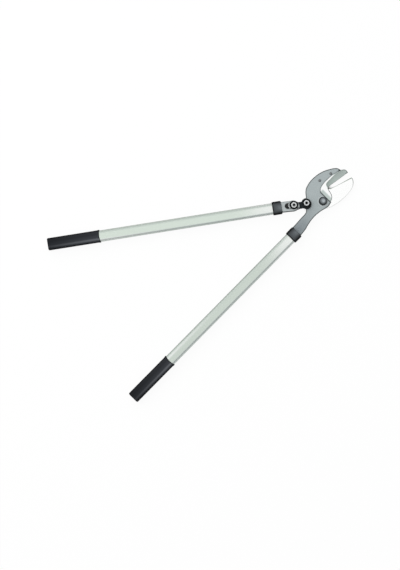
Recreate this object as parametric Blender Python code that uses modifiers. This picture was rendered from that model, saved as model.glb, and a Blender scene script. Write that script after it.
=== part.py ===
"""Long two-handed lopper with a compound bypass head.

The tool lies flat on its back. The blade pivot stands on the origin and Z runs up along it.
The fixed handle runs along -X and the jaws point to +X. All sizes below are in millimetres.

The moving handle turns about the link bolt in the body's ear. Its fork plates have a slot that
holds the driver bush on the blade's tail, so the blade turns about the pivot with the handle.
"""
import math

import bmesh
import bpy
from mathutils import Matrix, Vector

MM = 0.001
GAP = 0.3
SIDES = 24
CURVE_STEPS = 4

# Plates and hardware, stacked from the resting plane upwards
DRIVER_HEAD_T = 3.5
FORK_T = 3.0
BLADE_T = 4.0
COUNTER_T = 3.4
BODY_T = 6.0
EYE_T = 5.0
PIVOT_WASHER_T = 2.0
WASHER_T = 1.6
NUT_T = 6.5
THREAD_END = 1.5

# Blade pivot, at the origin
PIVOT_R = 5.0
PIVOT_HEAD_R = 9.7
PIVOT_HEAD_H = 6.0
PIVOT_HEAD_RIM = 2.2
PIVOT_HEAD_FLAT_R = 4.8
PIVOT_WASHER_R = 10.9
REAR_WASHER_R = 12.5
PIVOT_NUT_AF = 17.0

# Link bolt and driver bolt
LINK_X = -33.0
LINK_Y = 26.4
BOLT_R = 4.0
WASHER_R = 11.0
NUT_AF = 13.0
LINK_HEAD_R = 9.0
DRIVER_HEAD_R = 8.0
DRIVER_REACH = 32.4
BUSH_R = 5.2

# Body: hooked cheek, ear and tang in one plate
HOOK_REACH = 86.9
HOOK_RISE = 57.9
EAR_R = 12.0
EAR_ROOT = 4.5
EDGE_ANGLE = math.radians(45.6)
BOSS_R = 18.5
CHEEK_FACE_X = 11.7
CHEEK_FACE_Y = 20.6
CHEEK_FACE_DROP = 2.0
TANG_SHOULDER_R = 14.6
TANG_TONGUE_R = 10.5
TANG_LEN = 60.0
CHAMFER = 0.9
NEAR_RIVET = (31.4, 42.7)
FAR_RIVET = (63.5, 35.1)
RIVET_R = 2.4
RIVET_HEAD_R = 3.6
RIVET_HEAD_H = 1.6

# Cutting edges, each a line from its heel to its toe
COUNTER_REACH = 97.0
COUNTER_RISE = 52.0
COUNTER_HEEL = (33.3, 14.6)
COUNTER_TOE = (91.8, 6.7)
COUNTER_BEVEL = 12.0
BLADE_REACH = 93.4
BLADE_DEPTH = 32.2
BLADE_HEEL = (34.7, 10.4)
BLADE_TOE = (94.2, -9.5)
BLADE_BEVEL = 9.0
EDGE_LAND = 0.5
GRIND_RUN = 20.0
TAIL_R = 11.5
TAIL_WAIST = 4.8
TAIL_END = 14.0

# Moving handle, in its own frame from the link bolt
HANDLE_ANGLE = math.radians(143.6)
SLOT_R = 7.0
SLOT_TRAVEL = 16.0
KNUCKLE_R = 13.4
KNUCKLE_OFFSET = 2.4
KNUCKLE_SHORT = 13.9
SHANK_SHORT = 7.2
SHANK_SIDE_A = -5.5
SHANK_SIDE_B = 12.0
KNUCKLE_RIVET_R = 2.0
KNUCKLE_RIVET_SHORT = 10.2
KNUCKLE_RIVET_A = -2.6
KNUCKLE_RIVET_B = 9.4
FORK_NEAR_R = 11.7
FORK_FAR_R = 15.8
FORK_SHOULDER = 1.5
FORK_NECK_R = 12.0
FORK_TONGUE_R = 8.0
FORK_TONGUE_LEN = 40.0

# Handle tubes, collars and grips, alike on both sides
HANDLE_OFFSET = 0.9
FIXED_AXIS_Y = -7.4
MOVING_COLLAR_AT = 64.3
FIXED_COLLAR_AT = 101.8
COLLAR_LEN = 23.0
COLLAR_LIP = 5.0
COLLAR_W = 34.0
COLLAR_CORNER = 9.0
COLLAR_ROUND = 1.2
TUBE_W = 28.6
TUBE_WALL = 1.6
TUBE_CORNER = 7.0
MOVING_TUBE_LEN = 592.0
FIXED_TUBE_LEN = 584.0
INSERT_LEN = 45.0
PIN_R = 2.5
PIN_AT = 12.0
GRIP_LEN = 135.0
GRIP_END_T = 3.5
GRIP_W = 32.6
GRIP_CORNER = 10.0
GRIP_WAIST_W = 31.3
GRIP_LIP_FLAT = 1.5
GRIP_LIP_LEN = 4.0
GRIP_ROUND = 6.0

# Levels that follow from the stack
FORK_REAR_Z = DRIVER_HEAD_T + GAP
BLADE_Z = FORK_REAR_Z + FORK_T + GAP
BLADE_TOP = BLADE_Z + BLADE_T
COUNTER_Z = BLADE_TOP + GAP
COUNTER_TOP = COUNTER_Z + COUNTER_T
BODY_Z = COUNTER_TOP + GAP
BODY_TOP = BODY_Z + BODY_T
EYE_Z = BODY_TOP + GAP
EYE_TOP = EYE_Z + EYE_T
FORK_FRONT_Z = EYE_TOP - FORK_T
WASHER_Z = EYE_TOP + GAP
NUT_Z = WASHER_Z + WASHER_T + GAP
BOLT_TOP = NUT_Z + NUT_T + THREAD_END
HANDLE_Z = (FORK_REAR_Z + EYE_TOP) / 2
TUBE_T = EYE_TOP - FORK_REAR_Z + 2 * GAP + 2 * TUBE_WALL
GRIP_T = 2 * HANDLE_Z
COLLAR_T = 2 * HANDLE_Z

# Places that follow from the pivots
KNUCKLE_END = DRIVER_REACH - KNUCKLE_SHORT
SHANK_END = DRIVER_REACH - SHANK_SHORT
KNUCKLE_RIVET_X = DRIVER_REACH - KNUCKLE_RIVET_SHORT
SLOT_END = DRIVER_REACH + SLOT_TRAVEL + SLOT_R
DRIVER_X = LINK_X + DRIVER_REACH * math.cos(HANDLE_ANGLE)
DRIVER_Y = LINK_Y + DRIVER_REACH * math.sin(HANDLE_ANGLE)
TAIL_ANGLE = math.atan2(DRIVER_Y, DRIVER_X)
TAIL_LEN = math.hypot(DRIVER_X, DRIVER_Y)

CORNER = "corner"

for leftover in list(bpy.data.objects):
    bpy.data.objects.remove(leftover, do_unlink=True)

parts = bpy.data.collections.new("bypass_lopper")
cutters = bpy.data.collections.new("cutters")
bpy.context.scene.collection.children.link(parts)
bpy.context.scene.collection.children.link(cutters)


def material(name, colour, roughness, metallic):
    """A plain Principled material."""
    made = bpy.data.materials.new(name)
    made.use_nodes = True
    shader = made.node_tree.nodes["Principled BSDF"]
    shader.inputs["Base Color"].default_value = (*colour, 1.0)
    shader.inputs["Roughness"].default_value = roughness
    shader.inputs["Metallic"].default_value = metallic
    return made


def frame(name, x, y, angle):
    """An empty that pieces are parented to, on a joint's axis or at a handle's start."""
    empty = bpy.data.objects.new(name, None)
    empty.location = (x * MM, y * MM, 0)
    empty.rotation_euler.z = angle
    parts.objects.link(empty)
    return empty


def arc(x, y, radius, start, end, steps):
    """Points along an arc, angles in radians."""
    turns = [start + (end - start) * i / steps for i in range(steps + 1)]
    return [(x + radius * math.cos(a), y + radius * math.sin(a)) for a in turns]


def circle(x, y, radius, sides=SIDES):
    """Points of a whole circle."""
    return arc(x, y, radius, 0, math.tau * (sides - 1) / sides, sides - 1)


def sized(shares, length, height, y=0):
    """Outline points written as shares of a length along X and of a height above y."""
    return [(along * length, y + above * height, *kind) for along, above, *kind in shares]


def rounded_rectangle(width, height, radius, steps=5):
    """Points of a rectangle with round corners, centred on zero."""
    points = []
    for quarter, (side_x, side_y) in enumerate(((1, 1), (-1, 1), (-1, -1), (1, -1))):
        x = side_x * (width / 2 - radius)
        y = side_y * (height / 2 - radius)
        start = quarter * math.pi / 2
        points += arc(x, y, radius, start, start + math.pi / 2, steps)
    return points


def add_loop(curve, points, smooth):
    """Adds one closed loop: straight between its points, or a smooth curve with marked corners."""
    spline = curve.splines.new("BEZIER" if smooth else "POLY")
    spline.use_cyclic_u = True
    if not smooth:
        spline.points.add(len(points) - 1)
        for knot, (x, y) in zip(spline.points, points):
            knot.co = (x * MM, y * MM, 0, 1)
        return
    spline.bezier_points.add(len(points) - 1)
    for knot, point in zip(spline.bezier_points, points):
        handle = "VECTOR" if CORNER in point else "AUTO"
        knot.co = (point[0] * MM, point[1] * MM, 0)
        knot.handle_left_type = handle
        knot.handle_right_type = handle


def mesh_of(part):
    """Turns a curve object into a welded mesh object in the same place."""
    bpy.context.view_layer.update()
    seen = part.evaluated_get(bpy.context.evaluated_depsgraph_get())
    mesh = bpy.data.meshes.new_from_object(seen)
    name = part.name
    parent = part.parent
    place = part.matrix_basis.copy()
    homes = list(part.users_collection)
    bpy.data.objects.remove(part, do_unlink=True)
    shape = bmesh.new()
    shape.from_mesh(mesh)
    bmesh.ops.remove_doubles(shape, verts=shape.verts, dist=1e-6)
    bmesh.ops.recalc_face_normals(shape, faces=shape.faces)
    shape.to_mesh(mesh)
    shape.free()
    made = bpy.data.objects.new(name, mesh)
    made.parent = parent
    made.matrix_basis = place
    for home in homes:
        home.objects.link(made)
    return made


def finish(part, paint):
    """Gives a piece its material and smooth round faces."""
    part.data.materials.clear()
    part.data.materials.append(paint)
    part.data.shade_smooth()
    part.data.set_sharp_from_angle(angle=math.radians(35))
    return part


def outline_solid(name, outline, holes, depth, place, parent, home, smooth=False):
    """A filled 2D curve with holes, extruded by depth about its own plane."""
    curve = bpy.data.curves.new(name, "CURVE")
    curve.dimensions = "2D"
    curve.fill_mode = "BOTH"
    curve.extrude = depth / 2 * MM
    curve.resolution_u = CURVE_STEPS
    add_loop(curve, outline, smooth)
    for hole in holes:
        add_loop(curve, hole, False)
    part = bpy.data.objects.new(name, curve)
    part.parent = parent
    part.matrix_basis = place
    home.objects.link(part)
    return mesh_of(part)


def plate(name, outline, holes, low, high, paint, parent, smooth=False):
    """A flat plate between two levels."""
    place = Matrix.Translation((0, 0, (low + high) / 2 * MM))
    return finish(outline_solid(name, outline, holes, high - low, place, parent, parts, smooth), paint)


def ring(name, x, y, outer, inner, low, high, paint, parent):
    """A washer or bush: a round plate with a round hole."""
    return plate(name, circle(x, y, outer), [circle(x, y, inner)], low, high, paint, parent)


def nut(name, x, y, across_flats, bore, low, high, paint, parent):
    """A hexagon nut."""
    corner = across_flats / 2 / math.cos(math.pi / 6)
    return plate(name, circle(x, y, corner, 6), [circle(x, y, bore)], low, high, paint, parent)


def along_handle(start, end, offset):
    """Stands a 2D outline across a handle: its X is the width, its Y is up, its depth runs along."""
    turn = Matrix(((0, 0, 1, 0), (1, 0, 0, 0), (0, 1, 0, 0), (0, 0, 0, 1)))
    return Matrix.Translation(((start + end) / 2 * MM, offset * MM, HANDLE_Z * MM)) @ turn


def turned(name, x, y, profile, paint, parent):
    """A turned piece: the profile is (radius, level) from the top of the axis to its bottom."""
    mesh = bpy.data.meshes.new(name)
    knots = [(radius * MM, 0, level * MM) for radius, level in profile]
    mesh.from_pydata(knots, [(i, i + 1) for i in range(len(knots) - 1)], [])
    part = bpy.data.objects.new(name, mesh)
    part.parent = parent
    part.location = (x * MM, y * MM, 0)
    parts.objects.link(part)
    screw = part.modifiers.new("turn", "SCREW")
    screw.axis = "Z"
    screw.steps = SIDES
    screw.render_steps = SIDES
    screw.use_merge_vertices = True
    screw.merge_threshold = 1e-5
    part.data.materials.append(paint)
    return part


def cylinder(name, x, y, radius, low, high, parent, home):
    """A plain cylinder along Z."""
    mesh = bpy.data.meshes.new(name)
    shape = bmesh.new()
    middle = Matrix.Translation((x * MM, y * MM, (low + high) / 2 * MM))
    bmesh.ops.create_cone(shape, cap_ends=True, segments=SIDES, radius1=radius * MM,
                          radius2=radius * MM, depth=(high - low) * MM, matrix=middle)
    shape.to_mesh(mesh)
    shape.free()
    part = bpy.data.objects.new(name, mesh)
    part.parent = parent
    home.objects.link(part)
    return part


def pin(name, x, y, radius, low, high, paint, parent):
    """A plain round pin or rivet."""
    return finish(cylinder(name, x, y, radius, low, high, parent, parts), paint)


def hide_tool(tool):
    """Marks an object as a construction tool."""
    tool.hide_render = True
    tool.display_type = "WIRE"


def combine(part, tool, operation):
    """Joins a piece with a tool, or cuts the tool out of it."""
    hide_tool(tool)
    join = part.modifiers.new(tool.name, "BOOLEAN")
    join.operation = operation
    join.object = tool
    return part


def round_edges(part, width, segments=2):
    """Rounds the sharp edges of a piece."""
    bevel = part.modifiers.new("round", "BEVEL")
    bevel.width = width * MM
    bevel.segments = segments
    bevel.limit_method = "ANGLE"
    bevel.angle_limit = math.radians(50)
    return part


def grind(part, start, end, width, edge_z, face_z, reach):
    """Grinds a flat bevel along an edge line. The plate lies to the left of the line start to end.

    The bevel starts on the edge line at edge_z and meets the plate's face at face_z, width inwards.
    The cut runs on past start and end by the two lengths in reach.
    """
    along = Vector((end[0] - start[0], end[1] - start[1], 0)).normalized()
    inward = Vector((-along.y, along.x, 0))
    slope = (inward * width + Vector((0, 0, face_z - edge_z))).normalized()
    up = along.cross(slope)
    away = 1 if face_z > edge_z else -1
    first = Vector((*start, edge_z)) - along * reach[0]
    last = Vector((*end, edge_z)) + along * reach[1]
    depth = 4 * width
    tall = 4 * (BLADE_T + COUNTER_T)
    centre = (first + last) / 2 + up * away * tall / 2
    basis = Matrix((along * (last - first).length, slope * depth, up * tall)).transposed() * MM
    mesh = bpy.data.meshes.new(part.name + "_grind")
    shape = bmesh.new()
    place = Matrix.Translation(centre * MM) @ basis.to_4x4()
    bmesh.ops.create_cube(shape, size=1, matrix=place)
    shape.to_mesh(mesh)
    shape.free()
    tool = bpy.data.objects.new(part.name + "_grind", mesh)
    tool.parent = part.parent
    cutters.objects.link(tool)
    combine(part, tool, "DIFFERENCE")


body_paint = material("body_paint", (0.40, 0.44, 0.43), 0.45, 0.3)
blade_steel = material("blade_steel", (0.80, 0.81, 0.80), 0.22, 1.0)
counter_steel = material("counter_steel", (0.66, 0.69, 0.68), 0.28, 1.0)
fork_paint = material("fork_paint", (0.74, 0.76, 0.76), 0.38, 0.4)
black_steel = material("black_steel", (0.035, 0.035, 0.038), 0.42, 0.4)
zinc = material("zinc", (0.78, 0.79, 0.80), 0.30, 1.0)
pivot_steel = material("pivot_steel", (0.36, 0.37, 0.38), 0.38, 0.9)
tube_aluminium = material("tube_aluminium", (0.70, 0.75, 0.71), 0.40, 0.7)
collar_plastic = material("collar_plastic", (0.07, 0.075, 0.08), 0.50, 0.0)
grip_rubber = material("grip_rubber", (0.03, 0.032, 0.036), 0.62, 0.0)
insert_plastic = material("insert_plastic", (0.12, 0.12, 0.12), 0.55, 0.0)

body = frame("body_frame", 0, 0, 0)
blade = frame("blade_pivot_axis", 0, 0, 0)
moving = frame("handle_pivot_axis", LINK_X, LINK_Y, HANDLE_ANGLE)
fixed = frame("fixed_handle_frame", 0, FIXED_AXIS_Y, math.pi)


def body_outline():
    """The hooked cheek, then the boss, the tang and the ear, anticlockwise from the hook's tip."""
    edge_x = math.cos(EDGE_ANGLE)
    edge_y = math.sin(EDGE_ANGLE)
    collar_x = -FIXED_COLLAR_AT
    shoulder_x = collar_x + GAP
    tongue_x = collar_x - TANG_LEN
    top_y = FIXED_AXIS_Y + TANG_SHOULDER_R
    hook = sized([(1, 0.418, CORNER), (0.976, 0.539), (0.915, 0.644), (0.774, 0.782), (0.655, 0.877),
                  (0.519, 0.946), (0.379, 0.986), (0.238, 1), (0.114, 0.988), (0.007, 0.952),
                  (-0.109, 0.879)], HOOK_REACH, HOOK_RISE)
    ear = [(LINK_X + EAR_R * edge_x, LINK_Y + EAR_R * edge_y, CORNER)]
    ear += arc(LINK_X, LINK_Y, EAR_R, EDGE_ANGLE + 0.3, EDGE_ANGLE + math.pi - 0.3, 5)
    ear += [(LINK_X - EAR_R * edge_x, LINK_Y - EAR_R * edge_y, CORNER)]
    root = EAR_R + EAR_ROOT
    tang_top = [(LINK_X - root * edge_x, LINK_Y - root * edge_y)]
    tang_top += sized([(-0.482, 1.247), (-0.535, 1.123), (-0.682, 1.096), (-0.938, 1)], FIXED_COLLAR_AT,
                      TANG_SHOULDER_R, FIXED_AXIS_Y)
    tang_top += [(shoulder_x, top_y, CORNER), (shoulder_x, FIXED_AXIS_Y + TANG_TONGUE_R, CORNER)]
    tongue = [(tongue_x, FIXED_AXIS_Y + TANG_TONGUE_R, CORNER),
              (tongue_x, FIXED_AXIS_Y - TANG_TONGUE_R, CORNER)]
    tang_low = [(shoulder_x, FIXED_AXIS_Y - TANG_TONGUE_R, CORNER)]
    tang_low += [(shoulder_x, FIXED_AXIS_Y - 0.9 * TANG_SHOULDER_R, CORNER)]
    tang_low += sized([(-0.918, -0.83), (-0.818, -0.75), (-0.684, -0.51), (-0.463, -0.281), (-0.236, -0.384)],
                      FIXED_COLLAR_AT, TANG_SHOULDER_R, FIXED_AXIS_Y)
    boss = arc(0, 0, BOSS_R, math.radians(250), math.radians(290), 2)
    face_low = -math.sqrt(BOSS_R ** 2 - CHEEK_FACE_X ** 2) - CHEEK_FACE_DROP
    face = [(CHEEK_FACE_X, face_low, CORNER), (CHEEK_FACE_X, CHEEK_FACE_Y, CORNER)]
    bite = sized([(0.188, 0.444), (0.244, 0.4905), (0.41, 0.539), (0.575, 0.537), (0.732, 0.52),
                  (0.864, 0.4715)], HOOK_REACH, HOOK_RISE)
    return hook + ear + tang_top + tongue + tang_low + boss + face + bite


def make_body():
    """The grey plate that carries everything, with its bolt, rivet and pin holes."""
    holes = [circle(0, 0, PIVOT_R + GAP), circle(LINK_X, LINK_Y, BOLT_R + GAP)]
    holes += [circle(x, y, RIVET_R + GAP) for x, y in (NEAR_RIVET, FAR_RIVET)]
    holes += [circle(-FIXED_COLLAR_AT - PIN_AT, FIXED_AXIS_Y, PIN_R + GAP)]
    part = plate("hook_body", body_outline(), holes, BODY_Z, BODY_TOP, body_paint, body, smooth=True)
    round_edges(part, CHAMFER)


def make_counter_blade():
    """The hardened counter-blade behind the cheek, with its wide ground bevel."""
    tip = [(0.9, 0.454, CORNER), (0.937, 0.413), (1, 0.296), (0.998, 0.112, CORNER)]
    edge = [(0.758, 0.181), (0.566, 0.242), (0.403, 0.287)]
    heel = [(0.321, 0.187), (0.298, 0.006), (0.272, -0.112), (0.218, -0.223)]
    around = arc(0, 0, BOSS_R - 2, math.radians(-80), math.radians(-230), 5)
    back = [(-0.093, 0.577), (0.01, 0.865), (0.124, 0.971), (0.268, 1), (0.454, 0.952), (0.598, 0.856),
            (0.742, 0.712), (0.825, 0.596)]
    tip, edge, heel, back = (sized(run, COUNTER_REACH, COUNTER_RISE) for run in (tip, edge, heel, back))
    shape = [*tip, (*COUNTER_TOE, CORNER), *edge, (*COUNTER_HEEL, CORNER), *heel, *around, *back]
    holes = [circle(0, 0, PIVOT_R + GAP)] + [circle(x, y, RIVET_R + GAP) for x, y in (NEAR_RIVET, FAR_RIVET)]
    part = plate("counter_blade", shape, holes, COUNTER_Z, COUNTER_TOP, counter_steel, body, smooth=True)
    grind(part, COUNTER_HEEL, COUNTER_TOE, COUNTER_BEVEL, COUNTER_Z + EDGE_LAND, COUNTER_TOP,
          (0, GRIND_RUN))


def make_cheek_rivets():
    """Two round-headed rivets through the cheek and the counter-blade, flush behind."""
    top = BODY_TOP + GAP
    for number, (x, y) in enumerate((NEAR_RIVET, FAR_RIVET), 1):
        dome = [(RIVET_HEAD_R * math.sin(a), top + RIVET_HEAD_H * math.cos(a))
                for a in (0, math.pi / 6, math.pi / 3, math.pi / 2)]
        shank = [(RIVET_R, top), (RIVET_R, COUNTER_Z + GAP), (0, COUNTER_Z + GAP)]
        turned(f"cheek_rivet_{number}", x, y, dome + shank, pivot_steel, body)


def blade_outline():
    """The moving blade: edge, tip, back, then the boss and the tail that ends round the driver bolt."""
    tail_x = math.cos(TAIL_ANGLE)
    tail_y = math.sin(TAIL_ANGLE)

    def tail(along, across):
        return (along * tail_x - across * tail_y, along * tail_y + across * tail_x)

    tip = [(1, -0.46), (0.97, -0.602), (0.904, -0.783), (0.837, -0.888), (0.742, -0.96), (0.622, -1)]
    back = [(0.452, -0.997), (0.284, -0.95), (0.177, -0.879), (0.015, -0.742), (-0.107, -0.512)]
    rump = TAIL_LEN + TAIL_END
    far_side = [tail(0.27 * TAIL_LEN, 1.48 * TAIL_R), tail(0.43 * TAIL_LEN, 1.09 * TAIL_R),
                tail(0.67 * TAIL_LEN, 0.96 * TAIL_R), tail(0.84 * TAIL_LEN, 0.96 * TAIL_R),
                tail(0.97 * TAIL_LEN, TAIL_R)]
    end = [tail(rump - TAIL_END / 4, 0.75 * TAIL_R), tail(rump, 0.28 * TAIL_R), tail(rump, -0.28 * TAIL_R),
           tail(rump - TAIL_END / 4, -0.75 * TAIL_R)]
    near_side = [tail(0.99 * TAIL_LEN, -0.91 * TAIL_R), tail(0.84 * TAIL_LEN, -1.04 * TAIL_WAIST),
                 tail(0.7 * TAIL_LEN, -TAIL_WAIST), tail(0.56 * TAIL_LEN, -1.56 * TAIL_WAIST),
                 tail(0.4 * TAIL_LEN, -2.92 * TAIL_WAIST)]
    boss = arc(0, 0, 1.22 * BOSS_R, math.radians(105), math.radians(60), 2)
    heel = [(1.2 * BOSS_R, 0.89 * BOSS_R), (*BLADE_HEEL, CORNER), (*BLADE_TOE, CORNER)]
    shape = [*heel, *sized(tip + back, BLADE_REACH, BLADE_DEPTH), *far_side, *end, *near_side, *boss]
    return shape[::-1]


def make_moving_blade():
    """The polished moving blade with its tail, ground on its rear side."""
    holes = [circle(0, 0, PIVOT_R + GAP), circle(DRIVER_X, DRIVER_Y, BOLT_R + GAP)]
    part = plate("moving_blade", blade_outline(), holes, BLADE_Z, BLADE_TOP, blade_steel, blade, smooth=True)
    grind(part, BLADE_TOE, BLADE_HEEL, BLADE_BEVEL, BLADE_TOP - EDGE_LAND, BLADE_Z, (GRIND_RUN, 0))


def make_pivot_hardware():
    """The pivot bolt with its flat-topped cup head, its two washers and the thin nut behind."""
    washer_top = BODY_TOP + GAP + PIVOT_WASHER_T
    head_z = washer_top + GAP
    shoulder = head_z + PIVOT_HEAD_RIM
    top = head_z + PIVOT_HEAD_H
    cup = [(PIVOT_HEAD_FLAT_R + (PIVOT_HEAD_R - PIVOT_HEAD_FLAT_R) * math.sin(a),
            shoulder + (top - shoulder) * math.cos(a)) for a in (0, math.pi / 6, math.pi / 3, math.pi / 2)]
    shank = [(PIVOT_HEAD_R, head_z), (PIVOT_R, head_z), (PIVOT_R, 0), (0, 0)]
    turned("pivot_bolt", 0, 0, [(0, top)] + cup + shank, pivot_steel, body)
    ring("pivot_washer_front", 0, 0, PIVOT_WASHER_R, PIVOT_R + GAP, BODY_TOP + GAP, washer_top, zinc, body)
    rear_z = BLADE_Z - GAP - WASHER_T
    ring("pivot_washer_rear", 0, 0, REAR_WASHER_R, PIVOT_R + GAP, rear_z, BLADE_Z - GAP, zinc, body)
    nut("pivot_nut", 0, 0, PIVOT_NUT_AF, PIVOT_R + GAP, 0, rear_z - GAP, zinc, body)


def flat_head_bolt(name, x, y, head_radius, head_low, head_high, parent):
    """A bolt with a low flat head below and a chamfered thread end above."""
    chamfer = 0.7
    shank = [(0, BOLT_TOP), (BOLT_R - chamfer, BOLT_TOP), (BOLT_R, BOLT_TOP - chamfer), (BOLT_R, head_high)]
    head = [(head_radius, head_high), (head_radius, head_low + chamfer), (head_radius - chamfer, head_low),
            (0, head_low)]
    turned(name, x, y, shank + head, black_steel, parent)


def make_link_hardware():
    """The link bolt, held by the body's ear, with its washer and nut in front of the knuckle."""
    flat_head_bolt("link_bolt", LINK_X, LINK_Y, LINK_HEAD_R, COUNTER_Z, COUNTER_TOP, body)
    ring("link_washer", LINK_X, LINK_Y, WASHER_R, BOLT_R + GAP, WASHER_Z, NUT_Z - GAP, black_steel, body)
    nut("link_nut", LINK_X, LINK_Y, NUT_AF, BOLT_R + GAP, NUT_Z, NUT_Z + NUT_T, zinc, body)


def make_driver_hardware():
    """The driver bolt through the blade's tail, with a bush in each fork plate's slot."""
    flat_head_bolt("driver_bolt", DRIVER_X, DRIVER_Y, DRIVER_HEAD_R, 0, DRIVER_HEAD_T, blade)
    bore = BOLT_R + GAP
    ring("driver_bush_rear", DRIVER_X, DRIVER_Y, BUSH_R, bore, FORK_REAR_Z, BLADE_Z - GAP, zinc, blade)
    ring("driver_bush_front", DRIVER_X, DRIVER_Y, BUSH_R, bore, COUNTER_Z, EYE_TOP, zinc, blade)
    ring("driver_washer", DRIVER_X, DRIVER_Y, WASHER_R, bore, WASHER_Z, NUT_Z - GAP, black_steel, blade)
    nut("driver_nut", DRIVER_X, DRIVER_Y, NUT_AF, bore, NUT_Z, NUT_Z + NUT_T, zinc, blade)


def make_knuckle():
    """The black knuckle: an eye in front of the ear, and a shank between tail and front plate."""
    eye = arc(0, KNUCKLE_OFFSET, KNUCKLE_R, math.radians(50), math.radians(325), 14)
    eye += [(KNUCKLE_END, SHANK_SIDE_A), (KNUCKLE_END, SHANK_SIDE_B)]
    part = plate("knuckle", eye, [circle(0, 0, BOLT_R + GAP)], EYE_Z, EYE_TOP, black_steel, moving)
    inner = EAR_R + 2 * GAP
    block = [(inner, SHANK_SIDE_A), (SHANK_END, SHANK_SIDE_A), (SHANK_END, SHANK_SIDE_B),
             (inner, SHANK_SIDE_B)]
    sides = (KNUCKLE_RIVET_A, KNUCKLE_RIVET_B)
    holes = [circle(KNUCKLE_RIVET_X, y, KNUCKLE_RIVET_R + GAP) for y in sides]
    top = FORK_FRONT_Z - GAP
    place = Matrix.Translation((0, 0, (COUNTER_Z + top) / 2 * MM))
    shank = outline_solid("knuckle_shank", block, holes, top - COUNTER_Z, place, moving, cutters)
    combine(part, shank, "UNION")
    for number, y in enumerate(sides, 1):
        pin(f"knuckle_rivet_{number}", KNUCKLE_RIVET_X, y, KNUCKLE_RIVET_R, COUNTER_Z + GAP,
            EYE_TOP - GAP / 2, fork_paint, moving)


def fork_outline():
    """One fork plate: rounded about the driver bolt, then a neck and a tongue for the tube."""
    start = KNUCKLE_END + GAP
    shoulder = MOVING_COLLAR_AT - GAP
    neck = MOVING_COLLAR_AT + COLLAR_LIP - GAP
    end = neck + FORK_TONGUE_LEN
    mid = HANDLE_OFFSET
    low = mid - FORK_NECK_R
    high = mid + FORK_NECK_R
    round_end = DRIVER_REACH - start
    far_x = SLOT_END - start
    near = sized([(0, -0.14, CORNER), (0.09, -0.43), (0.42, -0.66), (0.7, -0.88), (1, -1)],
                 round_end, FORK_NEAR_R)
    near += sized([(0.58, -1), (0.85, -1.03)], far_x, FORK_NEAR_R)
    far = sized([(0.85, 0.95), (0.58, 0.975)], far_x, FORK_FAR_R)
    far += sized([(1.05, 1), (0.67, 0.93), (0.43, 0.83), (0.1, 0.785), (0, 0.68, CORNER)],
                 round_end, FORK_FAR_R)
    near, far = ([(start + x, y, *kind) for x, y, *kind in side] for side in (near, far))
    neck_low = [(shoulder, low - FORK_SHOULDER), (shoulder, low), (neck, low), (neck, mid - FORK_TONGUE_R),
                (end, mid - FORK_TONGUE_R)]
    neck_high = [(end, mid + FORK_TONGUE_R), (neck, mid + FORK_TONGUE_R), (neck, high), (shoulder, high),
                 (shoulder, high + FORK_SHOULDER)]
    return near + [(x, y, CORNER) for x, y in neck_low + neck_high] + far


def make_fork_plates():
    """Two like plates, one on each side of the blade's tail, with the slot for the driver bushes."""
    slot = arc(SLOT_END - SLOT_R, 0, SLOT_R, -math.pi / 2, math.pi / 2, 10)
    slot += arc(DRIVER_REACH, 0, SLOT_R, math.pi / 2, 3 * math.pi / 2, 10)
    pin_hole = circle(MOVING_COLLAR_AT + PIN_AT, HANDLE_OFFSET, PIN_R + GAP)
    rivet_holes = [circle(KNUCKLE_RIVET_X, y, KNUCKLE_RIVET_R + GAP)
                   for y in (KNUCKLE_RIVET_A, KNUCKLE_RIVET_B)]
    plate("fork_plate_front", fork_outline(), [slot, pin_hole] + rivet_holes, FORK_FRONT_Z, EYE_TOP,
          fork_paint, moving, smooth=True)
    plate("fork_plate_rear", fork_outline(), [slot, pin_hole], FORK_REAR_Z, FORK_REAR_Z + FORK_T,
          fork_paint, moving, smooth=True)


def make_collar(name, at, offset, parent):
    """The plastic collar over the tube's front end."""
    bore = rounded_rectangle(TUBE_W + 2 * GAP, TUBE_T + 2 * GAP, TUBE_CORNER + GAP)
    shell = rounded_rectangle(COLLAR_W, COLLAR_T, COLLAR_CORNER)
    place = along_handle(at, at + COLLAR_LEN, offset)
    part = finish(outline_solid(name, shell, [bore], COLLAR_LEN, place, parent, parts), collar_plastic)
    round_edges(part, COLLAR_ROUND)


def make_tube(name, start, length, offset, pin_x, parent):
    """The aluminium handle tube, with a hole through both faces for its pin."""
    outer = rounded_rectangle(TUBE_W, TUBE_T, TUBE_CORNER)
    inner = rounded_rectangle(TUBE_W - 2 * TUBE_WALL, TUBE_T - 2 * TUBE_WALL, TUBE_CORNER - TUBE_WALL)
    place = along_handle(start, start + length, offset)
    part = finish(outline_solid(name, outer, [inner], length, place, parent, parts), tube_aluminium)
    drill = cylinder(name + "_drill", pin_x, offset, PIN_R + GAP, -GRIP_T, 2 * GRIP_T, parent, cutters)
    combine(part, drill, "DIFFERENCE")


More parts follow.
